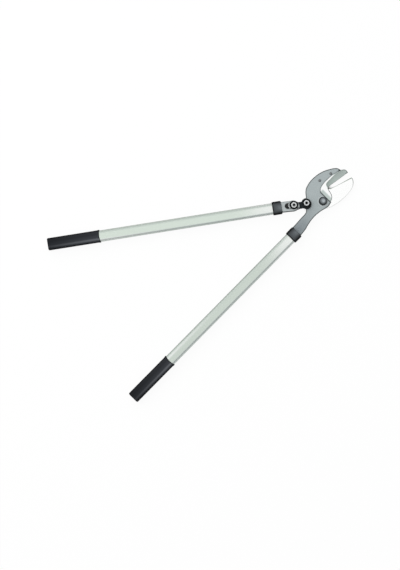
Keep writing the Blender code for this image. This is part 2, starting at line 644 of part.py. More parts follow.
def make_grip(name, tube_end, offset, parent):
    """The closed rubber sleeve over the tube's end, drawn in behind a lip at its front."""
    end = tube_end + GAP + GRIP_END_T
    front = end - GRIP_LEN
    section = bpy.data.curves.new(name + "_section", "CURVE")
    section.dimensions = "2D"
    add_loop(section, rounded_rectangle(GRIP_W, GRIP_T, GRIP_CORNER), False)
    guide = bpy.data.objects.new(name + "_section", section)
    hide_tool(guide)
    cutters.objects.link(guide)
    path = bpy.data.curves.new(name, "CURVE")
    path.dimensions = "3D"
    path.twist_mode = "Z_UP"
    path.bevel_mode = "OBJECT"
    path.bevel_object = guide
    path.use_fill_caps = True
    waist = GRIP_WAIST_W / GRIP_W
    stations = [(front, 1.0), (front + GRIP_LIP_FLAT, 1.0), (front + GRIP_LIP_LEN, waist),
                (end - GRIP_ROUND, waist), (end - GRIP_ROUND / 3, waist - 0.01),
                (end - GRIP_ROUND / 8, waist - 0.04), (end, waist - 0.11)]
    spline = path.splines.new("POLY")
    spline.points.add(len(stations) - 1)
    for knot, (x, size) in zip(spline.points, stations):
        knot.co = (x * MM, offset * MM, HANDLE_Z * MM, 1)
        knot.radius = size
    part = bpy.data.objects.new(name, path)
    part.parent = parent
    parts.objects.link(part)
    part = finish(mesh_of(part), grip_rubber)
    bore = rounded_rectangle(TUBE_W + 2 * GAP, TUBE_T + 2 * GAP, TUBE_CORNER + GAP)
    pocket_place = along_handle(front - GRIP_LEN, tube_end + GAP, offset)
    depth = tube_end + GAP - front + GRIP_LEN
    pocket = outline_solid(name + "_pocket", bore, [], depth, pocket_place, parent, cutters)
    combine(part, pocket, "DIFFERENCE")


def make_moving_handle():
    """Insert, pin, tube, collar and grip of the moving handle."""
    tube_start = MOVING_COLLAR_AT + COLLAR_LIP
    pin_x = MOVING_COLLAR_AT + PIN_AT
    half = TUBE_W / 2 - TUBE_WALL - 2 * GAP
    far = tube_start + INSERT_LEN
    block = [(MOVING_COLLAR_AT, HANDLE_OFFSET - half), (far, HANDLE_OFFSET - half), (far, HANDLE_OFFSET + half),
             (MOVING_COLLAR_AT, HANDLE_OFFSET + half)]
    plate("moving_insert", block, [circle(pin_x, HANDLE_OFFSET, PIN_R + GAP)], FORK_REAR_Z + FORK_T + GAP,
          FORK_FRONT_Z - GAP, insert_plastic, moving)
    reach = TUBE_T / 2 - GAP / 2
    pin("moving_pin", pin_x, HANDLE_OFFSET, PIN_R, HANDLE_Z - reach, HANDLE_Z + reach, zinc, moving)
    make_tube("moving_tube", tube_start, MOVING_TUBE_LEN, HANDLE_OFFSET, pin_x, moving)
    make_collar("moving_collar", MOVING_COLLAR_AT, HANDLE_OFFSET, moving)
    make_grip("moving_grip", tube_start + MOVING_TUBE_LEN, HANDLE_OFFSET, moving)


def make_fixed_handle():
    """Insert round the tang, pin, tube, collar and grip of the fixed handle."""
    tube_start = FIXED_COLLAR_AT + COLLAR_LIP
    pin_x = FIXED_COLLAR_AT + PIN_AT
    width = TUBE_W - 2 * TUBE_WALL - 2 * GAP
    shell = rounded_rectangle(width, TUBE_T - 2 * TUBE_WALL - 2 * GAP, TUBE_CORNER - TUBE_WALL - GAP)
    side = TANG_TONGUE_R + GAP
    low = BODY_Z - GAP - HANDLE_Z
    high = BODY_TOP + GAP - HANDLE_Z
    slot = [(-side, low), (side, low), (side, high), (-side, high)]
    place = along_handle(FIXED_COLLAR_AT + GAP, tube_start + INSERT_LEN, 0)
    insert = outline_solid("fixed_insert", shell, [slot], COLLAR_LIP + INSERT_LEN - GAP, place, fixed, parts)
    finish(insert, insert_plastic)
    drill = cylinder("fixed_insert_drill", pin_x, 0, PIN_R + GAP, -GRIP_T, 2 * GRIP_T, fixed, cutters)
    combine(insert, drill, "DIFFERENCE")
    reach = TUBE_T / 2 - GAP / 2
    pin("fixed_pin", pin_x, 0, PIN_R, HANDLE_Z - reach, HANDLE_Z + reach, zinc, fixed)
    make_tube("fixed_tube", tube_start, FIXED_TUBE_LEN, 0, pin_x, fixed)
    make_collar("fixed_collar", FIXED_COLLAR_AT, 0, fixed)
    make_grip("fixed_grip", tube_start + FIXED_TUBE_LEN, 0, fixed)


make_body()
make_counter_blade()
make_cheek_rivets()
make_moving_blade()
make_pivot_hardware()
make_link_hardware()
make_driver_hardware()
make_knuckle()
make_fork_plates()
make_moving_handle()
make_fixed_handle()
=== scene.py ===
import math

import bmesh
import bpy
import numpy as np
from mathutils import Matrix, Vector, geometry


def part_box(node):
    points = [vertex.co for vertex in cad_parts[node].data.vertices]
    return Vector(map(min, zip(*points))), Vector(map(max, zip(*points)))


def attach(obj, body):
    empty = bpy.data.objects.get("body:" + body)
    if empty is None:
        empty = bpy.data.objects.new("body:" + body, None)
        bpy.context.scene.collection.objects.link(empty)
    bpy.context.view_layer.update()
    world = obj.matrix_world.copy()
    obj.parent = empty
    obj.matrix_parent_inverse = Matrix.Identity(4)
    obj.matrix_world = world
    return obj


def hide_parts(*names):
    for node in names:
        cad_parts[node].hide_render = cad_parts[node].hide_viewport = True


# Looks of a long two-handed lopper with a hooked counter-blade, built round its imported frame.
# The tool lies on its back: the blade pivot stands on the origin with Z up along it, the fixed handle
# runs along -X, the jaws point to +X, and the moving handle lies to +Y. Sizes are in millimetres.
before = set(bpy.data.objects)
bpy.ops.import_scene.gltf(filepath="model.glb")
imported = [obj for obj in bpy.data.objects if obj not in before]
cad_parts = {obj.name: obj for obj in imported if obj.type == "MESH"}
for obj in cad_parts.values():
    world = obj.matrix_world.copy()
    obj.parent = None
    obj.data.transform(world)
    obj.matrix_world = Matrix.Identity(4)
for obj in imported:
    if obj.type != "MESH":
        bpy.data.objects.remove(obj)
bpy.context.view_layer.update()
MM = 0.001


# Hooked body
# The one forged plate that the whole head hangs on: a hooked cheek, the boss round the pivot, the ear
# for the link bolt and the tang. It is sprayed satin silver grey, and a ring round the pivot is faced.
class Shade:
    """A number or colour on its way through a material. Arithmetic on it adds the Math nodes."""

    def __init__(self, nodes, socket):
        self.nodes = nodes
        self.socket = socket

    def math(self, operation, *numbers):
        return self.nodes.add("ShaderNodeMath", {"operation": operation}, dict(enumerate(numbers)))

    def __add__(self, other):
        return self.math("ADD", self, other)

    def __sub__(self, other):
        return self.math("SUBTRACT", self, other)

    def __rsub__(self, other):
        return self.math("SUBTRACT", other, self)

    def __mul__(self, other):
        return self.math("MULTIPLY", self, other)

    def __truediv__(self, other):
        return self.math("DIVIDE", self, other)

    def __pow__(self, other):
        return self.math("POWER", self, other)

    def __abs__(self):
        return self.math("ABSOLUTE", self)

    __radd__ = __add__
    __rmul__ = __mul__

    def eased(self, low, high):
        """0 below low, 1 above high, with a soft step between them."""
        return self.nodes.add("ShaderNodeMapRange", {"interpolation_type": "SMOOTHSTEP"},
                              {"Value": self, "From Min": low, "From Max": high})

    def faded(self, low, high):
        """1 below low, 0 above high, with a soft step between them."""
        return 1 - self.eased(low, high)


class Nodes:
    """A tree of shader nodes."""

    def __init__(self, tree):
        self.tree = tree

    def add(self, kind, settings=None, sockets=None, result=0):
        """Adds a node: its settings first, then the values or links of its sockets. Gives one output."""
        node = self.tree.nodes.new(kind)
        for name, value in (settings or {}).items():
            setattr(node, name, value)
        for name, value in (sockets or {}).items():
            self.feed(node.inputs[name], value)
        return Shade(self, node.outputs[result])

    def feed(self, socket, value):
        """Links a socket or gives it a value. A colour is three numbers."""
        if isinstance(value, Shade):
            self.tree.links.new(value.socket, socket)
        elif socket.type == "RGBA":
            socket.default_value = (*value, 1)
        else:
            socket.default_value = value


class Finish(Nodes):
    """A material: one Principled shader and the nodes that vary it over the surface."""

    def __init__(self, name, slot, roughness=0.5, metallic=0.0, specular=0.5):
        self.material = bpy.data.materials.new(name)
        self.material.use_nodes = True
        super().__init__(self.material.node_tree)
        self.shader = self.tree.nodes["Principled BSDF"]
        self.slot = slot
        self.drive("Roughness", roughness)
        self.drive("Metallic", metallic)
        self.drive("Specular IOR Level", specular)
        self.spot = self.add("ShaderNodeTexCoord", result="Object")

    def drive(self, name, value):
        """Links a socket of the Principled shader, or sets it."""
        self.feed(self.shader.inputs[name], value)

    def marked(self, name):
        """A number that the mesh carries at its points."""
        return self.add("ShaderNodeAttribute", {"attribute_name": name}, result="Fac")

    def along(self, axis):
        """The surface's place along X, Y or Z, in millimetres."""
        return self.add("ShaderNodeSeparateXYZ", sockets={0: self.spot}, result=axis) / MM

    def cloud(self, size, detail=3.0, turn=0.0, reach=(1, 1, 1)):
        """Noise of about this size, in millimetres, turned about Z and drawn out by reach."""
        scale = [1 / (size * MM * share) for share in reach]
        turned = self.add("ShaderNodeMapping", {"vector_type": "POINT"},
                          {"Vector": self.spot, "Rotation": (0, 0, -turn)})
        spread = self.add("ShaderNodeVectorMath", {"operation": "MULTIPLY"}, {0: turned, 1: scale})
        return self.add("ShaderNodeTexNoise", sockets={"Vector": spread, "Scale": 1.0, "Detail": detail})

    def tint(self, amount, dark, light):
        """Colour between two, by an amount from 0 to 1."""
        return self.add("ShaderNodeMix", {"data_type": "RGBA"}, {0: amount, 6: dark, 7: light}, result=2)

    def colour(self, base, *coats):
        """Sets the colour: a base under coats, each an amount from 0 to 1 and a colour."""
        for amount, coat in coats:
            base = self.tint(amount, base, coat)
        self.drive("Base Color", base)

    def grain(self, height, depth):
        """Roughens the surface by a height from 0 to 1 that stands for so many millimetres."""
        sockets = {"Height": height, "Distance": depth * MM, "Strength": 1.0}
        self.drive("Normal", self.add("ShaderNodeBump", sockets=sockets))


def places_of(mesh):
    """The places of a mesh's points, in mm."""
    places = np.zeros(3 * len(mesh.vertices), np.float32)
    mesh.vertices.foreach_get("co", places)
    return places.reshape(-1, 3) / MM


def face_loops(node, level):
    """Outlines of a packed plate's flat face at a level in mm, the longest first.

    The face's triangles share their inner edges, so an edge that only one of them has is on an outline.
    """
    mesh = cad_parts[node].data
    corners, same = np.unique(np.round(places_of(mesh), 3), axis=0, return_inverse=True)
    mesh.calc_loop_triangles()
    triangles = np.zeros(3 * len(mesh.loop_triangles), np.int32)
    mesh.loop_triangles.foreach_get("vertices", triangles)
    triangles = same.ravel()[triangles].reshape(-1, 3)
    triangles = triangles[np.all(np.abs(corners[triangles, 2] - level) < 0.01, axis=1)]
    edges = np.concatenate([triangles[:, pair] for pair in ([0, 1], [1, 2], [2, 0])])
    there = edges @ (len(corners), 1)
    back = edges @ (1, len(corners))
    following = dict(edges[~np.isin(there, back)].tolist())
    loops = []
    while following:
        start, here = following.popitem()
        loop = [start]
        while here != start:
            loop.append(here)
            here = following.pop(here)
        loops.append(corners[loop, :2])
    return sorted(loops, key=lambda loop: -np.ptp(loop, axis=0).sum())


def unit(vectors):
    """Vectors of length 1."""
    return vectors / np.maximum(np.linalg.norm(vectors, axis=-1, keepdims=True), 1e-9)


def smoothed(loop, step=1.2, corner=24):
    """A curve through a loop's points, at about one point each step mm.

    Each stretch is a cubic that leaves and meets its two points along the mean of the stretches there,
    and runs straight into a point where the loop turns by more than corner degrees.
    """
    into = loop - np.roll(loop, 1, 0)
    onward = np.roll(loop, -1, 0) - loop
    length = np.linalg.norm(onward, axis=1, keepdims=True)
    turn = np.degrees(np.arccos(np.clip((unit(into) * unit(onward)).sum(1), -1, 1)))
    weight = np.linalg.norm(into, axis=1, keepdims=True)
    mean = (unit(into) * length + unit(onward) * weight) / (length + weight)
    sharp = (turn > corner)[:, None]
    leave = np.where(sharp, onward, mean * length)
    meet = np.where(np.roll(sharp, -1, 0), onward, np.roll(mean, -1, 0) * length)
    count = np.maximum(1, np.ceil(length[:, 0] / step)).astype(int)
    stretch = np.repeat(np.arange(len(loop)), count)
    t = ((np.arange(count.sum()) - np.repeat(np.cumsum(count) - count, count)) / count[stretch])[:, None]
    start = loop[stretch]
    end = np.roll(loop, -1, 0)[stretch]
    return ((2 * t**3 - 3 * t**2 + 1) * start + (t**3 - 2 * t**2 + t) * leave[stretch]
            + (3 * t**2 - 2 * t**3) * end + (t**3 - t**2) * meet[stretch])


def sideways(loop):
    """Ways out of the plate: at each point of a loop, between its two stretches, and of its next one."""
    into = unit(loop - np.roll(loop, 1, 0))
    onward = unit(np.roll(loop, -1, 0) - loop)
    return unit(into + onward)[:, ::-1] * (1, -1), onward[:, ::-1] * (1, -1)


def room_beside(loop, way):
    """How far a loop can move out (way 1) or in (way -1) at each point before it meets itself.

    It is the smallest circle that touches the loop at the point and passes another one: |d|^2 / (2 d.n).
    """
    normal = sideways(loop)[0] * way
    offset = loop[None] - loop[:, None]
    ahead = (offset * normal[:, None]).sum(2)
    square = (offset**2).sum(2)
    return np.where(ahead > 1e-6, square / np.maximum(2 * ahead, 1e-6), 1e3).min(1)


def outset(loop, distance):
    """Moves a loop away from its plate, or into it where the distance is below 0."""
    side, normal = sideways(loop)
    spread = np.maximum((side * normal).sum(1, keepdims=True), 0.6)
    return loop + side * np.reshape(distance, (-1, 1)) / spread


def distance_to(points, line, closed=True):
    """Each point's distance to a line of straight stretches."""
    start = line if closed else line[:-1]
    run = (np.roll(line, -1, 0) if closed else line[1:]) - start
    from_start = points[:, None] - start
    t = np.clip((from_start * run).sum(2) / np.maximum((run**2).sum(1), 1e-12), 0, 1)
    return np.sqrt((((from_start - t[..., None] * run)) ** 2).sum(2)).min(1)


def inside(points, loops):
    """True where a line from the point crosses the loops an odd number of times."""
    crossings = np.zeros(len(points), int)
    for loop in loops:
        (x1, y1), (x2, y2) = loop.T[:, :, None], np.roll(loop, -1, 0).T[:, :, None]
        x, y = points.T
        spans = (y1 > y) != (y2 > y)
        reach = x1 + (x2 - x1) * (y - y1) / np.where(y2 == y1, 1, y2 - y1)
        crossings += (spans & (x < reach)).sum(0)
    return crossings % 2 == 1


def face(loops, level, spacing, creases=()):
    """A flat face between loops, filled with an even net of points. level gives its height at (x, y).

    The net keeps about half its spacing away from the loops and creases, whose points it joins.
    """
    low = loops[0].min(0)
    high = loops[0].max(0)
    rows = np.arange(low[1], high[1], spacing * math.sqrt(3) / 2)
    grid_x, grid_y = np.meshgrid(np.arange(low[0], high[0], spacing), rows)
    grid_x = grid_x + spacing / 2 * (np.arange(len(rows)) % 2)[:, None]
    net = np.stack([grid_x.ravel(), grid_y.ravel()], 1)
    net = net[inside(net, loops)]
    lines = [(loop, True) for loop in loops] + [(crease, False) for crease in creases]
    for line, closed in lines:
        net = net[distance_to(net, line, closed) > spacing * 0.55]
    edges = []
    first = 0
    for line, closed in lines:
        numbers = first + np.arange(len(line))
        pairs = np.stack([numbers, np.roll(numbers, -1)], 1)
        edges += pairs[:len(line) if closed else -1].tolist()
        first += len(line)
    flat = np.concatenate([line for line, _ in lines] + [net])
    made = geometry.delaunay_2d_cdt(flat.tolist(), edges, [], 0, 1e-4, False)
    points = np.array(made[0])
    triangles = np.array(made[2])
    triangles = triangles[inside(points[triangles].mean(1), loops)]
    return np.column_stack([points, level(points)]), triangles


def flat_at(height):
    """A face level that is the same all over."""
    return lambda points: np.full(len(points), float(height))


HOLE_ROUND = 0.3
LEAD = 0.25
LEAD_SHARE = 0.15
ROOM_SHARE = 0.8
WALL_SHARE = 0.45


def plate_skin(loops, low, high, rounding, spacing=2.5, creases=(), turns=5):
    """The closed skin of a plate: both faces and, along each loop, a wall with rounded edges.

    low and high give the faces' heights at (x, y). A wall's rows go round a quarter circle at each edge:
    outwards by radius * (sin a - 1), down by radius * (1 - cos a). The radius shrinks where the loop or
    the wall leaves it too little room, and a narrow flat lead keeps the faces' shading level.
    """
    points, faces, tops, bottoms = [], [], [], []
    for number, loop in enumerate(loops):
        widest = rounding if number == 0 else min(rounding, HOLE_ROUND)
        radius = np.minimum(widest, ROOM_SHARE * room_beside(loop, -1))
        lead = np.minimum(LEAD, LEAD_SHARE * radius)
        rim = outset(loop, -radius - lead)
        top = high(rim)
        bottom = low(rim)
        radius = np.minimum(radius, WALL_SHARE * (top - bottom))
        angle = np.linspace(0, math.pi / 2, turns)
        rows = [(-radius - lead, top)]
        rows += [(radius * (math.sin(a) - 1), top - radius * (1 - math.cos(a))) for a in angle]
        rows += [(radius * (math.sin(a) - 1), bottom + radius * (1 - math.cos(a))) for a in angle[::-1]]
        rows += [(-radius - lead, bottom)]
        wall = np.array([np.column_stack([outset(loop, out), height]) for out, height in rows])
        faces.append(grid_faces(len(rows), len(loop), False, True) + sum(map(len, points)))
        points.append(wall.reshape(-1, 3))
        tops.append(wall[0, :, :2])
        bottoms.append(wall[-1, :, :2])
    for edges, level, order in ((tops, high, 1), (bottoms, low, -1)):
        here, triangles = face(edges, level, spacing, creases if order == 1 else ())
        faces.append(triangles[:, ::order] + sum(map(len, points)))
        points.append(here)
    return np.concatenate(points), faces


def grid_faces(rows, columns, closed_rows, closed_columns):
    """Four-sided faces between neighbours of a grid of points that is numbered row by row."""
    numbers = np.arange(rows * columns).reshape(rows, columns)
    if closed_rows:
        numbers = np.vstack([numbers, numbers[:1]])
    if closed_columns:
        numbers = np.hstack([numbers, numbers[:, :1]])
    corners = (numbers[:-1, :-1], numbers[1:, :-1], numbers[1:, 1:], numbers[:-1, 1:])
    return np.stack([corner.ravel() for corner in corners], 1)


WELD = 0.002


def piece(name, points, faces, finish, body, node, marks=None, sharp=34):
    """Makes a closed mesh of points in mm, welds and dresses it, and puts it in its node's place."""
    mesh = bpy.data.meshes.new(name)
    mesh.from_pydata((points * MM).tolist(), [], [f for run in faces for f in run.tolist()])
    shape = bmesh.new()
    shape.from_mesh(mesh)
    bmesh.ops.remove_doubles(shape, verts=shape.verts, dist=WELD * MM)
    bmesh.ops.recalc_face_normals(shape, faces=shape.faces)
    shape.to_mesh(mesh)
    shape.free()
    mesh.shade_smooth()
    mesh.set_sharp_from_angle(angle=math.radians(sharp))
    for mark, number in (marks or {}).items():
        values = number(places_of(mesh)).astype(np.float32)
        mesh.attributes.new(mark, "FLOAT", "POINT").data.foreach_set("value", values)
    made = bpy.data.objects.new(name, mesh)
    bpy.context.scene.collection.objects.link(made)
    mesh.materials.append(finish.material)
    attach(made, body)
    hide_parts(node)


RIM_REACH = 12


def rim_of(loops):
    """A mark for a plate's mesh: the distance to its nearest outline, up to RIM_REACH mm."""
    def rim(places):
        return np.min([distance_to(places[:, :2], loop) for loop in loops], axis=0).clip(max=RIM_REACH)
    return rim


def heights(node):
    """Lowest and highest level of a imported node, in mm."""
    low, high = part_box(node)
    return low.z / MM, high.z / MM


BODY_CHAMFER = 0.9
BODY_ROUND = 1.7
FACED_RING = (9.7, 14.6)
RING_EDGE = 0.8
TANG_SHADE_X = (-105, -8)
THROAT_Y = (18, 24)
CHEEK_TIP_X = (79, 85)
UNDER_PIVOT = (-6, -8)
CHEEK_GREY = (0.357, 0.408, 0.415)
TANG_SHADE_GREY = (0.163, 0.194, 0.216)
SPECKLE_GREY = (0.46, 0.50, 0.50)
FACED_GREY = (0.62, 0.66, 0.66)
OUTLINE_SHADE_GREY = (0.022, 0.032, 0.028)
SEAM_SHADOW_GREY = (0.018, 0.023, 0.024)

satin_grey = Finish("satin_grey_paint", "body_paint", metallic=0.25)
edge = satin_grey.marked("rim")
speckle = satin_grey.cloud(0.5, 2)
drift = satin_grey.cloud(22)
away = (satin_grey.along("X") ** 2 + satin_grey.along("Y") ** 2) ** 0.5
ring = (away.eased(FACED_RING[0], FACED_RING[0] + RING_EDGE)
        * away.faded(FACED_RING[1] - RING_EDGE, FACED_RING[1]))
seam_shadow = satin_grey.marked("seam_shadow")
throat = 0.85 * seam_shadow * satin_grey.along("Y").eased(*THROAT_Y) * satin_grey.along("X").faded(*CHEEK_TIP_X)
# Painted shade: the tang darkens toward the collar.
satin_grey.colour(
    satin_grey.tint(satin_grey.along("X").eased(*TANG_SHADE_X), TANG_SHADE_GREY, CHEEK_GREY),
    (0.5 * speckle + 0.35 * drift - 0.2, SPECKLE_GREY),
    (0.3 * ring, FACED_GREY),
    # Painted shade darkens the outlines, less in the throat.
    (edge.faded(0.8, 3.0) * (1 - throat), OUTLINE_SHADE_GREY),
    # Painted shadow of the cheek's edge on the counter-blade, and painted shade below the pivot.
    (0.35 * (seam_shadow - throat) * edge.faded(1.0, 5.5), OUTLINE_SHADE_GREY),
    ((seam_shadow - throat) * edge.faded(0.9, 2.3), SEAM_SHADOW_GREY))
satin_grey.drive("Roughness", 0.5 - 0.12 * ring - 0.1 * drift)
satin_grey.grain(speckle - 4 * ring, 0.03)

body_low, body_high = heights("hook_body")
body_loops = [smoothed(loop) for loop in face_loops("hook_body", body_high)]
body_loops = [outset(loop, np.minimum(BODY_CHAMFER, ROOM_SHARE * room_beside(loop, 1)))
              for loop in body_loops]
over_blade = inside(body_loops[0], face_loops("counter_blade", heights("counter_blade")[0]))
under_pivot = (body_loops[0][:, 0] > UNDER_PIVOT[0]) & (body_loops[0][:, 1] < UNDER_PIVOT[1])
bordered = (over_blade | under_pivot).astype(float)
bordered = np.mean([np.roll(bordered, shift) for shift in range(-3, 4)], axis=0)


def seam_shadow_share(places):
    """1 where painted shadow darkens the outline beside the counter-blade and below the pivot, 0 elsewhere.
    """
    offset = places[:, None, :2] - body_loops[0]
    return bordered[(offset**2).sum(2).argmin(1)]


points, faces = plate_skin(body_loops, flat_at(body_low), flat_at(body_high), BODY_ROUND, spacing=2.2)
piece("hooked_body", points, faces, satin_grey, "head", "hook_body",
      marks={"rim": rim_of(body_loops[:1]), "seam_shadow": seam_shadow_share})


# Counter-blade
# A hardened steel blade behind the cheek. Its front is polished, and a broad hollow is ground from a
# curved line down to the cutting edge. Two rivets and the pivot bolt hold it to the body.
HOLLOW_LINE = np.array([(87.3, 23.6), (85.8, 23.6), (77.5, 25.3), (69.7, 26.3), (61.5, 26.6), (54.2, 26.4),
                        (46.5, 26.5), (39.9, 26.1), (36.3, 24.7), (33.7, 20.1), (32.6, 17.6), (32.9, 15.0)])
BEYOND_EDGE = [(33.3, 14.0), (39.1, 11.0), (93.0, 4.0), (99.0, 4.0), (99.0, 24.0)]
EDGE_SPAN_X = (33.2, 96.9)
EDGE_TOP_Y = 15.1
HEEL_RAMP = 6.0
EDGE_LAND = 0.5
HOLLOW_POWER = 1.25
COUNTER_ROUND = 0.35
SATIN_X = (19, 23)
SATIN_Y = (19, 24)
TIP_SHADE_X = (62, 71)
COUNTER_TOE_X = (88, 93)

counter_low, counter_high = heights("counter_blade")
counter_loops = [smoothed(loop[::-1]) for loop in face_loops("counter_blade", counter_low)]
hollow_line = smoothed(HOLLOW_LINE, 1.0)
hollow_line = hollow_line[:np.argmin(np.linalg.norm(hollow_line - HOLLOW_LINE[-1], axis=1)) + 1]
rim = counter_loops[0]
rim = rim[(rim[:, 0] > EDGE_SPAN_X[0]) & (rim[:, 0] < EDGE_SPAN_X[1]) & (rim[:, 1] < EDGE_TOP_Y)]
cutting_edge = rim[np.argsort(rim[:, 0])]


def ground_share(places):
    """How far across the hollow a place lies, from 0 at its line to 1 at the edge, less near its heel."""
    spot = places[:, :2]
    to_line = distance_to(spot, hollow_line, False)
    to_edge = distance_to(spot, cutting_edge, False)
    hollow = inside(spot, [np.concatenate([hollow_line, BEYOND_EDGE])])
    ramp = np.clip(np.linalg.norm(spot - hollow_line[-1], axis=1) / HEEL_RAMP, 0, 1)
    return np.where(hollow, ramp * to_line / np.maximum(to_line + to_edge, 1e-6), 0)


def counter_top(places):
    """The front face: flat, then falling along the hollow to the narrow land at the edge."""
    drop = counter_high - counter_low - EDGE_LAND
    return counter_high - drop * ground_share(places) ** (1 / HOLLOW_POWER)


def ground_front(places):
    """ground_share on the front of the blade, 0 on its flat rear."""
    return ground_share(places) * (places[:, 2] > counter_low + 0.6 * EDGE_LAND)


bright_steel = Finish("bright_counter_steel", "counter_steel", metallic=1.0)
edge = bright_steel.marked("rim")
ground = bright_steel.marked("ground").eased(0.0, 0.03)
satin = bright_steel.along("X").faded(*SATIN_X) * bright_steel.along("Y").faded(*SATIN_Y)
toe = bright_steel.along("X").eased(*COUNTER_TOE_X)
strokes = bright_steel.cloud(0.35, turn=math.radians(-8), reach=(40, 1, 1))
drift = bright_steel.cloud(14, 2)
bright_steel.colour(
    bright_steel.tint(ground, (0.95, 0.96, 0.955), (0.57, 0.66, 0.62)),
    (satin, (0.55, 0.62, 0.59)),
    # Painted shade greys the front toward the tip.
    (bright_steel.along("X").eased(*TIP_SHADE_X), (0.54, 0.61, 0.585)),
    (strokes * ground * 0.3, (0.35, 0.41, 0.38)),
    # Painted shade darkens the outlines, wider away from the hollow and at the toe.
    (edge.faded(0.1, 1.1) + (1 - ground * (1 - toe)) * edge.faded(0.8, 2.2), (0.11, 0.13, 0.12)))
bright_steel.drive("Roughness", 0.1 + 0.26 * ground + 0.2 * satin + 0.06 * drift)
bright_steel.grain(strokes * (0.2 + 0.8 * ground), 0.01)

crease = hollow_line[inside(hollow_line, counter_loops) & (distance_to(hollow_line, counter_loops[0]) > 0.7)]
points, faces = plate_skin(counter_loops, flat_at(counter_low), counter_top, COUNTER_ROUND, spacing=1.6,
                           creases=[crease], turns=4)
piece("hooked_counter_blade", points, faces, bright_steel, "head", "counter_blade",
      marks={"rim": rim_of(counter_loops[:1]), "ground": ground_front})


# Moving blade
# The blade that sweeps past the counter-blade, with a tail to the driver bolt. It is ground flat and
# mirror polished, has a narrow honed strip in front along its edge and its main bevel behind.
BLADE_HEEL = np.array((34.7, 10.4))
BLADE_TOE = np.array((94.2, -9.5))
HONED_STRIP = 2.3
HONED_DROP = 0.28
BLADE_BEVEL = 9.0
BLADE_ROUND = 0.55
BLADE_TAIL_X = (-26, -8)
BLADE_TOE_X = (76, 92)

blade_low, blade_high = heights("moving_blade")
blade_loops = [smoothed(loop) for loop in face_loops("moving_blade", blade_high)]


def from_blade_edge(places):
    """Distance in from the straight cutting edge, in mm, and growing fast beyond its heel."""
    run = unit(BLADE_TOE - BLADE_HEEL)
    offset = places[:, :2] - BLADE_HEEL
    across = -(offset @ (-run[1], run[0]))
    beside = np.clip(-(offset @ run), 0, None)
    return np.maximum(across, 0) + 4 * np.maximum(beside - 0.5, 0)


def blade_top(places):
    """The front face: flat, but for the honed strip that falls to the edge."""
    return blade_high - HONED_DROP * np.clip(1 - from_blade_edge(places) / HONED_STRIP, 0, 1)


def blade_bottom(places):
    """The rear face: flat, but for the main bevel that rises to the edge."""
    share = np.clip(1 - from_blade_edge(places) / BLADE_BEVEL, 0, 1)
    return blade_low + (blade_high - blade_low - EDGE_LAND - HONED_DROP) * share


def rear_side(places):
    """1 on the rear face of the blade, 0 on its front."""
    return (places[:, 2] < (blade_top(places) + blade_bottom(places)) / 2).astype(float)


mirror_steel = Finish("mirror_blade_steel", "blade_steel", metallic=1.0)
edge = mirror_steel.marked("rim")
inward = mirror_steel.marked("inward")
honed = inward.faded(HONED_STRIP - 0.35, HONED_STRIP)
edge_strip_shade = inward.faded(1.2, 2.7)
bevel = mirror_steel.marked("rear") * inward.faded(BLADE_BEVEL - 0.3, BLADE_BEVEL)
tail = mirror_steel.along("X").faded(*BLADE_TAIL_X)
toe = mirror_steel.along("X").eased(*BLADE_TOE_X)
wipe = mirror_steel.cloud(0.3, turn=math.radians(20), reach=(50, 1, 1))
haze = mirror_steel.cloud(18)
mirror_steel.colour(
    mirror_steel.tint(honed, (0.985, 0.99, 0.985), (0.88, 0.92, 0.89)),
    # The tail is satin, and painted shade greys it where it lies deep in the fork.
    (tail, (0.66, 0.69, 0.695)),
    # Painted shade darkens the outlines, most at the toe.
    (0.5 * edge.faded(0.1, 1.2) + toe * edge.faded(0.7, 2.1), (0.16, 0.2, 0.17)),
    # Painted shade darkens the strip along the cutting edge.
    (edge_strip_shade, (0.22, 0.28, 0.22)),
    (bevel * (0.6 + 0.4 * wipe), (0.60, 0.66, 0.63)))
mirror_steel.drive("Roughness", 0.06 + 0.05 * haze + 0.12 * honed + 0.05 * wipe + 0.3 * tail + 0.2 * bevel)
mirror_steel.grain(wipe, 0.002)

points, faces = plate_skin(blade_loops, blade_bottom, blade_top, BLADE_ROUND, spacing=2.0, turns=4)
piece("polished_blade", points, faces, mirror_steel, "cutting_blade", "moving_blade",
      marks={"rim": rim_of(blade_loops[:1]), "inward": from_blade_edge, "rear": rear_side})


# Cheek rivets
# Two steel rivets with low domed heads. They are struck cold, so a faint flat is left on top.
RIVET_SHANK_R = 2.4
GAP = 0.3


def centre_of(node):
    """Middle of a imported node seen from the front, in mm."""
    low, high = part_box(node)
    return (low.x + high.x) / 2 / MM, (low.y + high.y) / 2 / MM


def radius_of(node):
    """Outer radius of a packed round node, in mm."""
    low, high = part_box(node)
    return (high.x - low.x) / 2 / MM


def turned_piece(name, profile, finish, body, node, sides=72, marks=None, sharp=34):
    """A turned piece: each (radius, level) of the profile runs round a circle about the node's middle.

    A radius or level is one number, or a row of numbers with one for each side.
    """
    middle = centre_of(node)
    angle = np.linspace(0, math.tau, sides, endpoint=False)
    radius, level = (np.array([np.broadcast_to(row[axis], sides) for row in profile]) for axis in (0, 1))
    grid = np.stack([middle[0] + radius * np.cos(angle), middle[1] + radius * np.sin(angle), level], 2)
    faces = grid_faces(len(profile), sides, profile[0][0] > 0, True)
    piece(name, grid.reshape(-1, 3), [faces], finish, body, node, marks, sharp)


